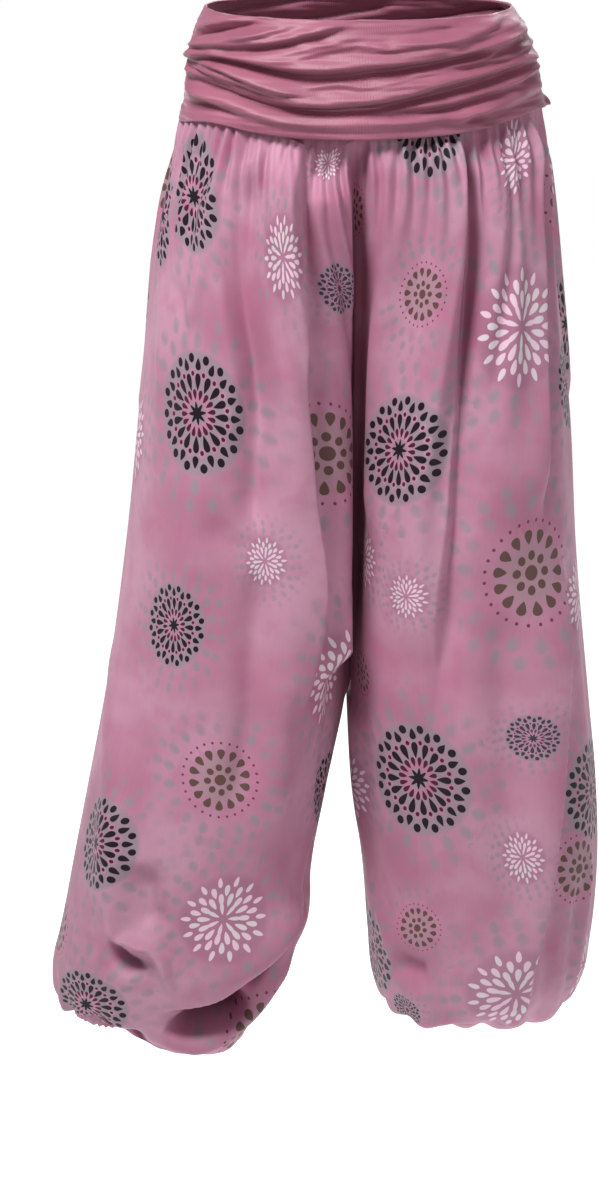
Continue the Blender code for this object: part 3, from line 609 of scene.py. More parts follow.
PINK = srgb(201, 148, 171)
DEEP_PINK = srgb(187, 121, 148)
ROSE = srgb(190, 108, 142)
GREY = srgb(156, 140, 151)
BROWN_GROUND = srgb(172, 140, 150)
RAY_PINK = srgb(196, 126, 160)
WHITE_GROUND = srgb(156, 104, 130)
PLUM = srgb(76, 14, 44)
PALE_PLUM = srgb(104, 60, 92)
NAVY_INK = srgb(23, 3, 19)
PALE_INK = srgb(74, 47, 74)
BROWN_INK = srgb(102, 72, 68)
BEAD_INK = srgb(120, 54, 80)
PETAL_PINK = srgb(238, 203, 221)
PETAL_GREY = srgb(224, 212, 218)
YOKE_COLOURS = (srgb(173, 98, 124), srgb(157, 85, 110))
BAND_COLOURS = (srgb(196, 124, 150), srgb(184, 113, 139))
NAVY_GROUND = 0.85         # share of grey under a navy flower, and how far its dots clear it
BLUSH_CLEARS = 0.75

# ---- how finely the sheets are laid ----
PANEL_COLUMNS = 240
PANEL_BANDS = ((0.0, 60), (0.12, 190), (0.84, 70))    # where each starts, and its rows
YOKE_COLUMNS = 300
YOKE_ROWS = 76
BAND_COLUMNS = 480
BAND_ROWS = 13
CASING_COLUMNS = 360
CASING_ROWS = 12

# ---- studio ----
CAMERA_PLACE = (-0.053, -3.6, 0.42)
CAMERA_TILT = 15.3         # degrees down
CAMERA_LENS = 117.6
FLOOR_SIZE = 30.0
FLOOR_LEVEL = -1.15
FLOOR_COLOURS = ((0.42, 0.42, 0.425, 1), (0.44, 0.44, 0.44, 1))
# the floor's glow is painted light: it lights the scene though it is no lamp
FLOOR_GLOW = 0.22          # and more of it towards the back, between these places
FLOOR_GLOW_BEHIND = 0.74
FLOOR_GLOW_FROM = (-1.4, 0.3)
SKY_LIGHT = 0.10
LIGHT_SPREAD = 60
Light = namedtuple("Light", "name place aim size watts")
LIGHTS = (
    Light("key", (-1.35, -1.55, 2.75), (-0.10, 0, -0.22), 1.3, 17.8),
    Light("fill", (2.2, -2.9, 0.6), (0, 0, -0.5), 2.0, 4.0),
    Light("rear", (0.6, 3.0, 1.4), (0, 0, -0.4), 1.6, 9.0),
)


# ---- shapes ----

def hermite(key, values, at):
    """A smooth curve through the values, at the places `at`."""
    slopes = np.gradient(values, key)
    i = np.clip(np.searchsorted(key, at, side="right") - 1, 0, len(key) - 2)
    h = key[i + 1] - key[i]
    s = np.clip((at - key[i]) / h, 0.0, 1.0)
    start = (1 + 2 * s) * (1 - s) ** 2 * values[i] + s * (1 - s) ** 2 * h * slopes[i]
    end = s * s * (3 - 2 * s) * values[i + 1] + s * s * (s - 1) * h * slopes[i + 1]
    return start + end


def along(rows, key, name, at):
    """Column `name` at the places `at` of column `key`, smoothly through the rows."""
    xs, ys = (np.array([getattr(row, column) for row in rows]) for column in (key, name))
    return hermite(xs, ys, at)


def soft_step(x):
    x = np.clip(x, 0.0, 1.0)
    return x * x * (3 - 2 * x)


def bell(x):
    return np.exp(-x ** 2)


def power(x, exponent):
    return np.sign(x) * np.abs(x) ** exponent


def seam_height(x, front):
    height = SEAM_Z + SIDE_RISE * x / HALF_HIP
    if front:
        height = height - SEAM_DIP * bell((x - SEAM_DIP_X) / SEAM_DIP_WIDTH)
    return height


def section_curve(leg, face, run, angle):
    column = {name: float(along(leg, "run", name, np.array(run)))
              for name in Section._fields[1:]}
    reach = column[face] - column["side"]
    torso = 2 / TORSO_SQUARE
    quarter = angle * 0.5
    torso_x = MIDDLE_X + (column["outer"] - MIDDLE_X) * power(np.cos(quarter), torso)
    torso_y = column["side"] + reach * power(np.sin(quarter), torso)
    shape = 2 / column["square"]
    centre = (column["outer"] + column["inner"]) / 2
    leg_x = centre + (column["outer"] - centre) * power(np.cos(angle), shape)
    leg_y = column["side"] + reach * power(np.sin(angle), shape)
    share = math.sin(math.pi / 2 * min(run / CROTCH_RUN, 1.0))
    x = torso_x + (leg_x - torso_x) * share
    y = torso_y + (leg_y - torso_y) * share
    inwards = (x - centre) / abs(column["inner"] - centre) * np.sign(column["inner"] - centre)
    z = column["z"] - column["sag"] * inwards
    top = seam_height(x, face == "front") - BAND_GAP
    z = z + (top - SEAM_Z) * (1 - soft_step(run / SEAM_BLEND_RUN))
    return np.stack([x, y, z], axis=-1)


def even_section(leg, face, run, across):
    fine = section_curve(leg, face, run, np.linspace(0, math.pi, 481))
    steps = np.linalg.norm(np.diff(fine, axis=0), axis=1)
    length = np.concatenate([[0.0], np.cumsum(steps)])
    wanted = across * length[-1]
    return np.stack([np.interp(wanted, length, fine[:, axis]) for axis in range(3)], axis=-1)


def fold_height(folds, face, across, run, width):
    height = np.zeros_like(across)
    for fold in folds:
        if fold.face != face:
            continue
        part = np.clip((run - fold.start) / (fold.end - fold.start), 0, 1)
        crest = (fold.top * (1 - part) * (1 - 2 * part) + fold.middle * 4 * part * (1 - part)
                 + fold.bottom * part * (2 * part - 1))
        away = (across - crest) * width
        spread = np.where(away < 0, fold.outer_spread, fold.inner_spread)
        ends = soft_step((run - fold.start) / FADE + 0.5) \
            * soft_step((fold.end - run) / FADE + 0.5)
        height += fold.height * bell(away / spread) * ends
    return height * soft_step(run / SEAM_HOLD)


def smooth_path(points, count):
    """Points of a smooth curve through a few others."""
    points = np.array(points, dtype=float)
    steps = np.linalg.norm(np.diff(points, axis=0), axis=1)
    key = np.concatenate([[0.0], np.cumsum(steps)])
    at = np.linspace(0, key[-1], count)
    return np.stack([hermite(key, points[:, axis], at) for axis in range(2)], axis=-1)


def path_distance(path, u, v):
    """Distance of the points (u, v) from a path, their side of it and place along it."""
    best = np.full(u.shape, 1e9)
    side = np.zeros(u.shape)
    place = np.zeros(u.shape)
    total = 0.0
    lengths = np.linalg.norm(np.diff(path, axis=0), axis=1)
    for (a, b), length in zip(zip(path, path[1:]), lengths):
        direction = (b - a) / max(length, 1e-9)
        du = u - a[0]
        dv = v - a[1]
        t = np.clip(du * direction[0] + dv * direction[1], 0, length)
        distance = np.hypot(du - t * direction[0], dv - t * direction[1])
        nearer = distance < best
        best = np.where(nearer, distance, best)
        side = np.where(nearer, direction[0] * dv - direction[1] * du, side)
        place = np.where(nearer, total + t, place)
        total += length
    return best, side, place, total


def crease_height(creases, face, across, run, width):
    """All the finer creases; a path's distances are real ones on the cloth's form."""
    height = np.zeros_like(across)
    u = (across - 0.5) * width
    for crease in creases:
        if crease.face != face:
            continue
        path = smooth_path(crease.path, 22)
        at = np.interp(path[:, 1], run[:, 0], width[:, 0])
        path = np.stack([(path[:, 0] - 0.5) * at, path[:, 1]], axis=-1)
        distance, side, place, total = path_distance(path, u, run)
        if isinstance(crease, Pleat):
            taper = min(PLEAT_TAPER, total * 0.4)
            back = bell(np.maximum(distance - PLEAT_EDGE, 0) / crease.far)
            drop = np.where(distance < PLEAT_EDGE, 1 - 2 * soft_step(distance / PLEAT_EDGE), -back)
            profile = np.where(side < 0, drop, bell(distance / crease.lead))
        else:
            taper = min(CREASE_TAPER, total * 0.4)
            profile = bell(distance / np.where(side < 0, crease.left, crease.right))
        ends = soft_step(place / taper + 0.15) * soft_step((total - place) / taper + 0.15)
        height += crease.height * profile * ends
    return height


def gather_height(gathers, across, run, width, from_hem=False):
    """Uneven pleats drawn in at the yoke seam or the ankle, that die out at own lengths."""
    height = np.zeros_like(across)
    away_from_seam = LEG_RUN - run if from_hem else run
    for gather in gathers:
        part = np.clip(away_from_seam / gather.reach, 0, 1.6)
        line = gather.place + (gather.end - gather.place) * part
        away = (across - line) * width
        spread = gather.width * (1 + GATHER_WIDENS * part)
        fall = np.exp(-(away_from_seam / gather.reach) ** GATHER_FALL)
        height -= gather.depth * bell(away / spread) * fall
        bank = bell((np.abs(away) - BANK_AWAY * spread) / spread)
        height += BANK_HEIGHT * gather.depth * bank * fall
    if from_hem:
        return height * (1 - HEM_CALM * soft_step((run - LEG_RUN + HEM_EDGE) / HEM_EDGE))
    return height * (GATHER_AT_TOP + (1 - GATHER_AT_TOP) * soft_step(run / TOP_FADE))


def drape_height(rng, across, run, width):
    """Soft low folds that merge as they run down."""
    height = np.zeros_like(across)
    for k in range(DRAPES):
        place = (k + rng.uniform(0.1, 0.9)) / DRAPES
        tall = DRAPE_HEIGHT * rng.uniform(-1.0, 1.0)
        start = rng.uniform(-0.1, 0.55)
        end = start + rng.uniform(0.20, 0.45)
        drift = rng.uniform(-0.16, 0.16)
        away = (across - place - drift * (run - start)) * width
        spread = rng.uniform(0.010, 0.022)
        ends = soft_step((run - start) / 0.10) * soft_step((end - run) / 0.14)
        height += tall * bell(away / spread) * ends
    return height


def pucker_height(rng, across, run, width):
    """Very small pleats along the ankle elastic."""
    height = np.zeros_like(across)
    shifts = rng.uniform(-0.28, 0.28, FINE_PUCKERS)
    for place in (np.arange(FINE_PUCKERS) + 0.5 + shifts) / FINE_PUCKERS:
        depth = FINE_PUCKER_DEPTH * rng.uniform(0.3, 1.1)
        reach = rng.uniform(0.014, 0.034)
        away = (across - place) * width
        spread = 0.0018 + 0.04 * np.clip(LEG_RUN - 0.012 - run, 0, 1)
        height -= depth * bell(away / spread) * soft_step((run - LEG_RUN + reach) / reach)
    return height


def surface_normals(points, flip):
    down = np.gradient(points, axis=0)
    over = np.gradient(points, axis=1)
    normals = np.cross(down, over) * flip
    return normals / np.maximum(np.linalg.norm(normals, axis=-1, keepdims=True), 1e-12)


def keep_apart(points, leg, run):
    above = run <= CROTCH_RUN + SHARED_SEAM
    side = points[..., 0] - MIDDLE_X
    held = np.minimum(side, SEAM_LAP) if leg is RIGHT_LEG else np.maximum(side, -SEAM_LAP)
    points[..., 0] = np.where(above, MIDDLE_X + held, points[..., 0])


def shared_edge(face, run):
    """Where the seam that both legs share runs, drawn into the hollow between them."""
    ends = [section_curve(leg, face, run, np.array([math.pi]))[0]
            for leg in (RIGHT_LEG, LEFT_LEG)]
    point = (ends[0] + ends[1]) / 2
    inwards = 1 if face == "front" else -0.5
    point[0] = MIDDLE_X
    point[1] += inwards * SEAM_RECESS * soft_step(run / 0.04) \
        * (1 - soft_step((run - 0.10) / 0.20))
    return point


def leg_sheet(leg, folds, creases, gathers, hem, face, seed):
    """One leg panel: points[row, column], its run and across, and which way it faces."""
    right = leg is RIGHT_LEG
    flip = 1 if right == (face == "front") else -1
    rng = np.random.RandomState(seed)
    across = np.linspace(0, 1, PANEL_COLUMNS + 1)
    ends = [start for start, rows in PANEL_BANDS[1:]] + [LEG_RUN]
    runs = np.concatenate([np.linspace(start, end, rows, endpoint=False)
                           for (start, rows), end in zip(PANEL_BANDS, ends)] + [[LEG_RUN]])
    points = np.stack([even_section(leg, face, run, across) for run in runs])
    normals = surface_normals(points, flip)
    run = runs[:, None] + 0 * across[None, :]
    across = across[None, :] + 0 * run
    width = np.linalg.norm(np.diff(points, axis=1), axis=-1).sum(axis=1)[:, None] + 0 * across
    edge = np.minimum(across, 1 - across)
    inner_edge = (1 - across) * width
    calm = soft_step(edge / EDGE_CALM)
    height = fold_height(folds, face, across, run, width) * calm
    height += crease_height(creases, face, across, run, width) * soft_step(edge / CREASE_CALM) \
        * (CREASE_AT_TOP + (1 - CREASE_AT_TOP) * soft_step(run / TOP_FADE))
    height += gather_height(gathers, across, run, width)
    height += drape_height(rng, across, run, width) * calm
    height += gather_height(hem, across, run, width, from_hem=True)
    height += pucker_height(rng, across, run, width)
    height -= SEAM_SINK * bell(edge * width / SEAM_SINK_WIDTH)
    if right:
        height -= POUCH_TUCK * bell((run - POUCH_TUCK_RUN) / POUCH_TUCK_LENGTH) \
            * bell(inner_edge / POUCH_TUCK_WIDTH)
    # the seam that both legs share stays closed
    shared = soft_step((CROTCH_RUN + SHARED_SEAM - run) / SHARED_SEAM)
    height *= 1 - shared * (1 - soft_step(inner_edge / 0.010))
    top_z = points[0, :, 2].copy()
    points = points + normals * height[..., None]
    if right:
        points[..., 1] += crease_height(RIGHT_HOLLOWS, face, across, run, width)
    points[0, :, 2] = top_z
    points[..., 2] += TOP_TUCK * (1 - soft_step(run / TOP_TUCK_RUN)) \
        * (1 - soft_step((across - TOP_TUCK_ACROSS) / 0.15))
    seam = np.stack([shared_edge(face, at) for at in runs])
    held = soft_step((JOIN_RUN - run) / 0.02) \
        * (1 - soft_step(inner_edge / JOIN_REACH["right" if right else "left"]))
    points += (seam[:, None, :] - points[:, -1:, :]) * held[..., None]
    keep_apart(points, leg, run)
    # the last row lies on the elastic
    end = leg[-1]
    ring = np.array([(end.outer + end.inner) / 2, end.side])
    away = points[-1, :, :2] - ring
    away /= np.linalg.norm(away, axis=1, keepdims=True)
    points[-1, :, :2] = ring + away * (RING_RADIUS + RING_CLEARANCE)
    return points, across, run, flip


def girth_points(z, angle, grow):
    right, left, front, back = (along(YOKE_GIRTHS[::-1], "z", name, z)
                                for name in Girth._fields[1:])
    centre = (right + left) / 2
    half = (left - right) / 2 + grow
    shape = 2 / TORSO_SQUARE
    sine = np.sin(angle)
    reach = np.where(sine > 0, front - grow, back + grow)
    x = centre - half * power(np.cos(angle), shape)
    y = reach * np.abs(sine) ** shape
    return np.stack([x, y, z + 0 * x], axis=-1)


def sagging(right, middle, left, across):
    hang = middle - (right + left) / 2
    return right + (left - right) * across + hang * np.sin(math.pi * across) ** HANG_POWER


def yoke_sheet(ridges, face):
    """Half of the ruched yoke: points[row, column], across and depth share."""
    across = np.linspace(0, 1, YOKE_COLUMNS + 1)
    depth = np.linspace(0, 1, YOKE_ROWS + 1)
    top = sagging(0.0, TOP_DIP, 0.0, across)
    low = sagging(*YOKE_DEPTH, across)
    low -= HEM_RISE * sum(bell((across - middle) / wide) for middle, wide in HEM_RISES)
    deep = depth[:, None] + 0 * across[None, :]
    across = across[None, :] + 0 * deep
    z = -(top + (low - top) * deep)
    drop = (low - top)[None, :] + 0 * deep
    u = across * HALF_GIRTH
    v = deep * drop
    height = np.zeros(across.shape)
    for ridge in ridges:
        path = smooth_path(ridge.path, 26)
        depth_at = np.interp(path[:, 0], across[0], drop[0])
        path = np.stack([path[:, 0] * HALF_GIRTH, path[:, 1] * depth_at], axis=-1)
        distance, side, place, total = path_distance(path, u, v)
        spread = np.where(side < 0, ridge.above, ridge.below)
        taper = min(0.03, total * 0.4)
        ends = soft_step(place / taper + 0.1) * soft_step((total - place) / taper + 0.1)
        height += ridge.height * bell(distance / spread) * ends
    for (least, reach), from_side in zip(SIDE_ENDS, (across, 1 - across)):
        height *= least + (1 - least) * soft_step((from_side - SIDE_MARGIN) / reach)
    wrinkle = (np.sin(u * 61 + v * 420 + 2.1 * np.sin(u * 23)) * np.sin(v * 760 - u * 35)
               + 0.6 * np.sin(u * 120 - v * 610 + 1.7 * np.sin(u * 41 + v * 90)))
    height += YOKE_LIFT + JERSEY_WRINKLE * wrinkle
    height += HEM_FLARE * soft_step((deep - HEM_FLARE_FROM) / (1 - HEM_FLARE_FROM))
    height -= TOP_TURN * soft_step(1 - deep / TOP_TURN_DEPTH)
    front = face == "front"
    if front:
        height += NUB * soft_step((across - 0.975) / 0.025) * soft_step((deep - 0.88) / 0.08)
    turn = math.pi * across if front else 2 * math.pi - math.pi * across
    points = girth_points(z, turn, height)
    points[..., 1] -= SEAM_GAP / 2 if front else -SEAM_GAP / 2
    if not front:
        for edge in (0, -1):
            points[:, edge, 1] -= ALLOWANCE_BACK
            points[:, edge, 0] -= np.sign(points[:, edge, 0]) * ALLOWANCE_IN
    return points, across, deep


# ---- meshes ----

def grid_mesh(name, points, flip=1, closed=False):
    rows, columns = points.shape[:2]
    mesh = bpy.data.meshes.new(name)
    index = np.arange(rows * columns).reshape(rows, columns)
    right = np.roll(index, -1, axis=1) if closed else index[:, 1:]
    left = index if closed else index[:, :-1]
    quads = np.stack([left[:-1], left[1:], right[1:], right[:-1]], axis=-1)
    if flip < 0:
        quads = quads[..., ::-1]
    mesh.from_pydata(points.reshape(-1, 3).tolist(), [], quads.reshape(-1, 4).tolist())
    mesh.update()
    mesh.shade_smooth()
    return mesh


def piece(name, mesh, material):
    mesh.materials.append(material)
    thing = bpy.data.objects.new(name + "_cloth", mesh)
    bpy.context.scene.collection.objects.link(thing)
    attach(thing, "root")
    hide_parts(name)
    return thing


def corner_values(mesh, values):
    """Values of the points at each face corner."""
    loops = np.empty(len(mesh.loops), dtype=np.int32)
    mesh.loops.foreach_get("vertex_index", loops)
    return values.reshape(-1, values.shape[-1])[loops]


def store(mesh, name, domain, values):
    layer = mesh.attributes.new(name, "FLOAT_VECTOR", domain)
    layer.data.foreach_set("vector", values.astype(np.float32).ravel())


def add_uv(mesh, across, down):
    values = corner_values(mesh, np.stack([across, 1 - down], axis=-1))
    layer = mesh.uv_layers.new(name="OFBake")
    layer.data.foreach_set("uv", values.astype(np.float32).ravel())
    flat = np.stack([across * FLAT_WIDTH, down * LEG_RUN, 0 * across], axis=-1)
    store(mesh, "cloth", "POINT", flat)


def add_print(mesh, across, run, flowers, edge=()):
    """Each face takes its nearest flower, and a second one for the soft spots round it."""
    corners = corner_values(mesh, np.stack([across * FLAT_WIDTH, run], axis=-1))
    middles = corners.reshape(-1, 4, 2).mean(axis=1)
    centres = np.array([(f.across * FLAT_WIDTH, f.run) for f in flowers])
    scale = np.array([f.radius / MASTER_RADIUS[f.kind] for f in flowers])
    kind, radius, turn, only, lean, narrow = np.array([f[2:] for f in flowers], dtype=float).T
    away = np.linalg.norm(middles[:, None, :] - centres[None], axis=-1) - radius[None]
    if edge:
        line = np.interp(middles[:, 1], [e.run for e in edge], [e.across for e in edge])
        beyond = np.sign(middles[:, 0] / FLAT_WIDTH - line)
        away = np.where(only[None] * beyond[:, None] < 0, OUT_OF_REACH, away)
    order = np.argsort(away, axis=1)
    for rank, name in ((0, "flower"), (1, "flower_beyond")):
        chosen = np.repeat(order[:, rank], 4)
        local = (corners - centres[chosen]) / scale[chosen][:, None]
        local[:, 0] = (local[:, 0] - lean[chosen] * local[:, 1]) / narrow[chosen]
        c = np.cos(turn[chosen])
        s = np.sin(turn[chosen])
        store(mesh, name, "CORNER", np.stack([local[:, 0] * c - local[:, 1] * s,
                                              local[:, 0] * s + local[:, 1] * c,
                                              kind[chosen]], axis=-1))


# ---- materials ----

class Nodes:
    """Short ways to write a material's node tree."""

    def __init__(self, name):
        self.material = bpy.data.materials.new(name)
        self.material.use_nodes = True
        self.tree = self.material.node_tree
        self.shader = self.tree.nodes["Principled BSDF"]

    def node(self, kind, **settings):
        node = self.tree.nodes.new(kind)
        for key, value in settings.items():
            setattr(node, key, value)
        return node

    def put(self, socket, value):
        if isinstance(value, bpy.types.NodeSocket):
            self.tree.links.new(value, socket)
        else:
            socket.default_value = value

    def math(self, operation, a, b=None, c=None, clamp=False):
        node = self.node("ShaderNodeMath", operation=operation, use_clamp=clamp)
        for socket, value in zip(node.inputs, (a, b, c)):
            if value is not None:
                self.put(socket, value)
        return node.outputs[0]

    def times(self, a, b):
        return self.math("MULTIPLY", a, b)

    def line(self, value, slope, start, clamp=False):
        return self.math("MULTIPLY_ADD", value, slope, start, clamp)

    def mix(self, factor, a, b):
        node = self.node("ShaderNodeMix", data_type="RGBA")
        self.put(node.inputs["Factor"], factor)
        self.put(node.inputs[6], a)
        self.put(node.inputs[7], b)
        return node.outputs[2]

    def attribute(self, name):
        return self.node("ShaderNodeAttribute", attribute_name=name).outputs["Vector"]

    def parts(self, vector):
        node = self.node("ShaderNodeSeparateXYZ")
        self.put(node.inputs[0], vector)
        return node.outputs

    def scaled(self, vector, x, y):
        node = self.node("ShaderNodeVectorMath", operation="MULTIPLY")
        self.put(node.inputs[0], vector)
        node.inputs[1].default_value = (x, y, 1.0)
        return node.outputs[0]

    def noise(self, vector, scale, detail=2.0):
        node = self.node("ShaderNodeTexNoise")
        self.put(node.inputs["Vector"], vector)
        node.inputs["Scale"].default_value = scale
        node.inputs["Detail"].default_value = detail
        node.inputs["Roughness"].default_value = 0.5
        return node.outputs[0]

    def ramp(self, value, low, high):
        """0 below low, 1 above high, softly between."""
        node = self.node("ShaderNodeMapRange", interpolation_type="SMOOTHSTEP")
        self.put(node.inputs[0], value)
        node.inputs[1].default_value = low
        node.inputs[2].default_value = high
        return node.outputs[0]

    def band(self, distance, rise, fall):
        return self.times(self.ramp(distance, *rise), self.ramp(distance, *fall))

    def largest(self, *masks):
        out = masks[0]
        for mask in masks[1:]:
            out = self.math("MAXIMUM", out, mask)
        return out

    def finish(self, colour, tone, relief, strength, depth, **values):
        """Shaded colour and a bump from the relief, then the shader's own numbers."""
        shade = self.node("ShaderNodeHueSaturation")
        self.put(shade.inputs["Value"], tone)
        self.put(shade.inputs["Color"], colour)
        bump = self.node("ShaderNodeBump")
        bump.inputs["Strength"].default_value = strength
        bump.inputs["Distance"].default_value = depth
        self.put(bump.inputs["Height"], relief)
        self.put(self.shader.inputs["Base Color"], shade.outputs[0])
        self.put(self.shader.inputs["Normal"], bump.outputs[0])
        for name, value in values.items():
            self.shader.inputs[name.replace("_", " ")].default_value = value
        return self.material


def ring(n, polar, spots, blur=SPOT_BLUR):
    """Mask of a ring of equal spots: ellipses, or drops when they taper inwards."""
    angle, distance = polar
    turn = n.math("FRACT", n.line(angle, spots.count / (2 * math.pi), 20.5 - spots.phase))
    delta = n.line(turn, 2 * math.pi / spots.count, -math.pi / spots.count)
    side = n.math("ABSOLUTE", n.times(distance, n.math("SINE", delta)))
    out = n.times(distance, n.math("COSINE", delta))
    out = n.line(out, 1 / spots.length, -spots.radius / spots.length)
    arc = n.math("SQRT", n.math("MAXIMUM", n.line(n.times(out, out), -1.0, 1.0), 0.0))
    wide = n.line(out, spots.taper * spots.width, spots.width) if spots.taper else spots.width
    gap = n.math("SUBTRACT", n.times(arc, wide), side)
    return n.line(gap, 1 / blur, 0.0, clamp=True)


def rings(n, polar, table):
    return n.largest(*(ring(n, polar, spots) for spots in table))


def polar_of(n, name):
    x, y, kind = n.parts(n.attribute(name))
    distance = n.math("SQRT", n.math("ADD", n.times(x, x), n.times(y, y)))
    return (n.math("ARCTAN2", y, x), distance), kind


def printed_cloth():
    n = Nodes("printed_viscose")
    cloth = n.attribute("cloth")
    polar, kind = polar_of(n, "flower")
    angle, distance = polar
    is_navy = n.math("COMPARE", kind, float(NAVY), 0.4)
    is_pale = n.math("COMPARE", kind, PALE_NAVY, 0.1)
    is_brown = n.math("COMPARE", kind, float(BROWN), 0.4)
    is_white = n.math("COMPARE", kind, float(WHITE), 0.4)

    # ground
    spots = n.noise(cloth, 34.0)
    colour = n.mix(n.ramp(n.noise(cloth, 9.0, 3.0), 0.35, 0.65), PINK, DEEP_PINK)
    colour = n.mix(n.times(n.ramp(spots, 0.50, 0.72), 0.35), colour, ROSE)
    near = (angle, n.times(distance, n.line(is_white, 0.38, 1.0)))
    beyond, _ = polar_of(n, "flower_beyond")
    halos = [n.times(ring(n, near, *row), strength)
             for row, strength in zip(zip(HALO_SPOTS, HALO_BLURS), HALO_STRENGTHS)]
    halo = n.largest(*halos, n.times(ring(n, beyond, FAR_SPOTS[0], FAR_BLUR), FAR_STRENGTH))
    colour = n.mix(n.times(halo, n.ramp(n.noise(cloth, 22.0), 0.25, 0.60)), colour, GREY)

    # grounds of the flowers
    heart = n.ramp(distance, 0.014, 0.008)
    navy_ground = n.largest(n.band(distance, *NAVY_BAND), n.band(distance, *NAVY_RIM), heart)
    blush = ring(n, polar, BLUSH_SPOTS[0], BLUSH_BLUR)
    strength = n.line(blush, -NAVY_GROUND * BLUSH_CLEARS, NAVY_GROUND)
    navy_ground = n.times(n.times(navy_ground, is_navy), strength)
    brown_ground = n.times(n.band(distance, *BROWN_BAND), is_brown)
    ray = n.times(ring(n, polar, BROWN_RAYS[0], RAY_BLUR), is_brown)
    white_ground = n.times(n.ramp(distance, 0.046, 0.036), is_white)
    colour = n.mix(navy_ground, colour, GREY)
    colour = n.mix(n.times(brown_ground, 0.75), colour, BROWN_GROUND)
    colour = n.mix(n.times(ray, 0.7), colour, RAY_PINK)
    colour = n.mix(n.times(white_ground, 0.50), colour, WHITE_GROUND)

    # flowers
    petal = n.mix(n.ramp(spots, 0.42, 0.58), PETAL_PINK, PETAL_GREY)
    for table, there, ink in (
            (PLUM_SPOTS, is_navy, n.mix(is_pale, PLUM, PALE_PLUM)),
            (NAVY_SPOTS, is_navy, n.mix(is_pale, NAVY_INK, PALE_INK)),
            (BROWN_SPOTS, is_brown, BROWN_INK),
            (BROWN_BEADS, is_brown, BEAD_INK),
            (WHITE_SPOTS, is_white, petal)):
        colour = n.mix(n.times(rings(n, polar, table), there), colour, ink)

    weave = n.noise(n.scaled(cloth, 1.0, 0.35), 1500.0)
    slub = n.noise(n.scaled(cloth, 1.0, 0.10), 420.0)
    fleck = n.math("ADD", n.times(weave, 0.5), n.times(slub, 0.5))
    # painted shade: the cloth is a little darker towards the ankles, standing in for light that
    # falls off lower down
    painted_shade_ramp = n.ramp(n.parts(cloth)[1], *PAINTED_SHADE_RUNS)
    tone = n.times(n.line(fleck, 0.16, 0.92), n.line(painted_shade_ramp, PAINTED_SHADE_BELOW - PAINTED_SHADE_ABOVE, PAINTED_SHADE_ABOVE))
    return n.finish(colour, tone, fleck, 0.22, 0.0006, Roughness=0.60, Sheen_Weight=0.08,
                    Sheen_Roughness=0.5, Sheen_Tint=(1.0, 0.86, 0.94, 1.0),
                    Specular_IOR_Level=0.32)


def jersey(name, light, dark):
    n = Nodes(name)
    cloth = n.attribute("cloth")
    colour = n.mix(n.ramp(n.noise(cloth, 14.0, 3.0), 0.3, 0.7), light, dark)
    streak = n.noise(n.scaled(cloth, 0.30, 1.0), 160.0, 3.0)
    knit = n.node("ShaderNodeTexWave", wave_type="BANDS", bands_direction="X")
    n.put(knit.inputs["Vector"], cloth)
    knit.inputs["Scale"].default_value = 190.0
    knit.inputs["Distortion"].default_value = 0.6
    fuzz = n.noise(cloth, 1700.0)
    relief = n.math("ADD", n.times(knit.outputs[1], 0.35),
                    n.math("ADD", n.times(fuzz, 0.35), n.times(streak, 0.3)))
    return n.finish(colour, n.line(relief, 0.22, 0.89), relief, 0.35, 0.0007, Roughness=0.50,
                    Sheen_Weight=0.40, Sheen_Roughness=0.45,
                    Sheen_Tint=(1.0, 0.88, 0.94, 1.0), Specular_IOR_Level=0.65)


# ---- the garment ----

def make_legs(material):
    right = (RIGHT_LEG, RIGHT_FOLDS, RIGHT_CREASES)
    left = (LEFT_LEG, LEFT_FOLDS, LEFT_CREASES)
    for side, face, tables, gathers, hem, flowers, edge, seed in (
            ("right", "front", right, RIGHT_FRONT_GATHERS, RIGHT_HEM, RIGHT_FRONT_PRINT,
             RIGHT_PRINT_EDGE, 11),
            ("right", "back", right, RIGHT_BACK_GATHERS, RIGHT_HEM, RIGHT_BACK_PRINT, (), 12),
            ("left", "front", left, LEFT_FRONT_GATHERS, LEFT_HEM, LEFT_FRONT_PRINT,
             LEFT_PRINT_EDGE, 13),
            ("left", "back", left, LEFT_BACK_GATHERS, LEFT_HEM, LEFT_BACK_PRINT, (), 14)):
        name = f"{side}_{face}"
        points, across, run, flip = leg_sheet(*tables, gathers, hem, face, seed)
        mesh = grid_mesh(name + "_cloth", points, flip)
        add_uv(mesh, across, run / LEG_RUN)
        add_print(mesh, across, run, flowers, edge)
        thing = piece(name, mesh, material)


def make_yoke(material):
    for face, ridges, flip in (("front", FRONT_RIDGES, 1), ("back", BACK_RIDGES, -1)):
        points, across, deep = yoke_sheet(ridges, face)
        mesh = grid_mesh(f"yoke_{face}_cloth", points, flip)
        add_uv(mesh, across, deep * YOKE_CLOTH)
        thing = piece(f"yoke_{face}", mesh, material)
        wall = thing.modifiers.new("wall", "SOLIDIFY")
        wall.thickness = JERSEY_WALL
        wall.offset = -1.0


def tube(name, rows, depths):
    """A closed sheet through rings of points, and its across and down."""
    points = np.stack(rows)
    count = points.shape[1]
    mesh = grid_mesh(name + "_cloth", points, 1, closed=True)
    around = np.tile(np.linspace(0, 1, count, endpoint=False), (len(rows), 1))
    down = depths[:, None] + 0 * around
    add_uv(mesh, around, down)
    return mesh, around, down


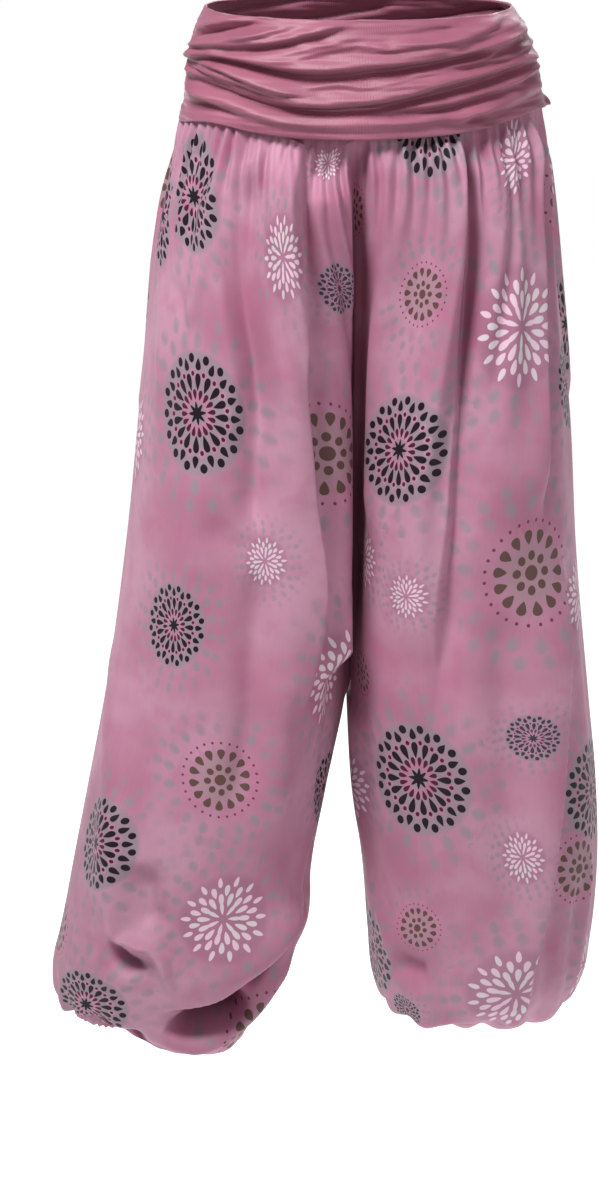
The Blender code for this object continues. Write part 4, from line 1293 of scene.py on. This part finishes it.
def make_band(material):
    angle = np.linspace(0, 2 * math.pi, BAND_COLUMNS, endpoint=False)
    x = girth_points(np.full_like(angle, SEAM_Z), angle, -BAND_LOW_INSET)[:, 0]
    lower = np.where(np.sin(angle) > 0, seam_height(x, True), seam_height(x, False))
    parts = np.linspace(0, BAND_TURN, BAND_ROWS + 1)
    rows = []
    for part in parts:
        z = BAND_TOP_Z + (lower - BAND_TOP_Z) * part
        pucker = BAND_PUCKER * np.sin(angle * 68 + 2 * np.sin(angle * 9)) * part
        inset = BAND_TOP_INSET + (BAND_LOW_INSET - BAND_TOP_INSET) * part
        rows.append(girth_points(z, angle, pucker - inset - BAND_WALL))
    mesh, _, _ = tube("under_band", rows, parts * BAND_CLOTH)
    thing = piece("under_band", mesh, material)


def make_casings(material):
    angle = np.linspace(0, 2 * math.pi, CASING_COLUMNS, endpoint=False)
    parts = np.linspace(0, 1, CASING_ROWS + 1)
    for side, leg in (("right", RIGHT_LEG), ("left", LEFT_LEG)):
        end = leg[-1]
        rows = []
        for part in parts:
            bulge = CASING_BULGE * math.sin(math.pi * part)
            pucker = CASING_PUCKER * np.sin(angle * CASING_PUCKERS + 2.5 * np.sin(angle * 7)) \
                * (0.55 + 0.45 * math.cos(math.pi * part) ** 2)
            radius = RING_RADIUS + bulge + pucker - CASING_WALL
            x = (end.outer + end.inner) / 2 + radius * np.cos(angle)
            y = end.side + radius * np.sin(angle)
            wave = CASING_WAVE * np.sin(angle * CASING_PUCKERS + 1.0)
            z = end.z + CASING_HEIGHT * (0.5 - part) + wave
            rows.append(np.stack([x, y, z], axis=-1))
        mesh, around, down = tube(f"{side}_casing", rows, parts * CASING_CLOTH)
        add_print(mesh, around, LEG_RUN + down, CASING_PRINT)
        thing = piece(f"{side}_casing", mesh, material)


# ---- studio ----

def make_studio():
    scene = bpy.context.scene
    scene.view_settings.view_transform = "Standard"
    camera = bpy.data.objects.new("camera", bpy.data.cameras.new("camera"))
    camera.location = CAMERA_PLACE
    camera.rotation_euler = (math.radians(90 - CAMERA_TILT), 0, 0)
    camera.data.lens = CAMERA_LENS
    camera.data.sensor_width = 36.0
    scene.collection.objects.link(camera)
    scene.camera = camera

    mesh = bpy.data.meshes.new("floor")
    corners = [(x * FLOOR_SIZE, y * FLOOR_SIZE, FLOOR_LEVEL)
               for x, y in ((-1, -1), (1, -1), (1, 1), (-1, 1))]
    mesh.from_pydata(corners, [], [(0, 1, 2, 3)])
    floor = bpy.data.objects.new("floor", mesh)
    scene.collection.objects.link(floor)
    # the floor glows, painted light stronger towards the back, so its grey shows white
    glowing_floor = Nodes("floor")
    position = glowing_floor.node("ShaderNodeNewGeometry").outputs["Position"]
    grain = glowing_floor.ramp(glowing_floor.noise(position, 3.0), 0.3, 0.7)
    glowing_floor.put(glowing_floor.shader.inputs["Base Color"], glowing_floor.mix(grain, *FLOOR_COLOURS))
    glowing_floor.shader.inputs["Roughness"].default_value = 0.9
    glow = glowing_floor.ramp(glowing_floor.parts(position)[1], *FLOOR_GLOW_FROM)
    glowing_floor.shader.inputs["Emission Color"].default_value = (1.0, 1.0, 1.0, 1.0)
    glowing_floor.put(glowing_floor.shader.inputs["Emission Strength"],
             glowing_floor.line(glow, FLOOR_GLOW_BEHIND, FLOOR_GLOW))
    mesh.materials.append(glowing_floor.material)

    world = bpy.data.worlds.new("studio")
    world.use_nodes = True
    background = world.node_tree.nodes["Background"]
    background.inputs[0].default_value = (1.0, 1.0, 1.0, 1)
    background.inputs[1].default_value = SKY_LIGHT
    scene.world = world

    for name, place, aim, size, watts in LIGHTS:
        light = bpy.data.objects.new(name, bpy.data.lights.new(name, "AREA"))
        light.data.size = size
        light.data.energy = watts
        light.data.spread = math.radians(LIGHT_SPREAD)
        light.location = place
        towards = Vector(aim) - Vector(place)
        light.rotation_euler = towards.to_track_quat("-Z", "Y").to_euler()
        scene.collection.objects.link(light)


cloth = printed_cloth()
make_legs(cloth)
make_yoke(jersey("jersey", *YOKE_COLOURS))
make_band(jersey("band_jersey", *BAND_COLOURS))
make_casings(cloth)
make_studio()
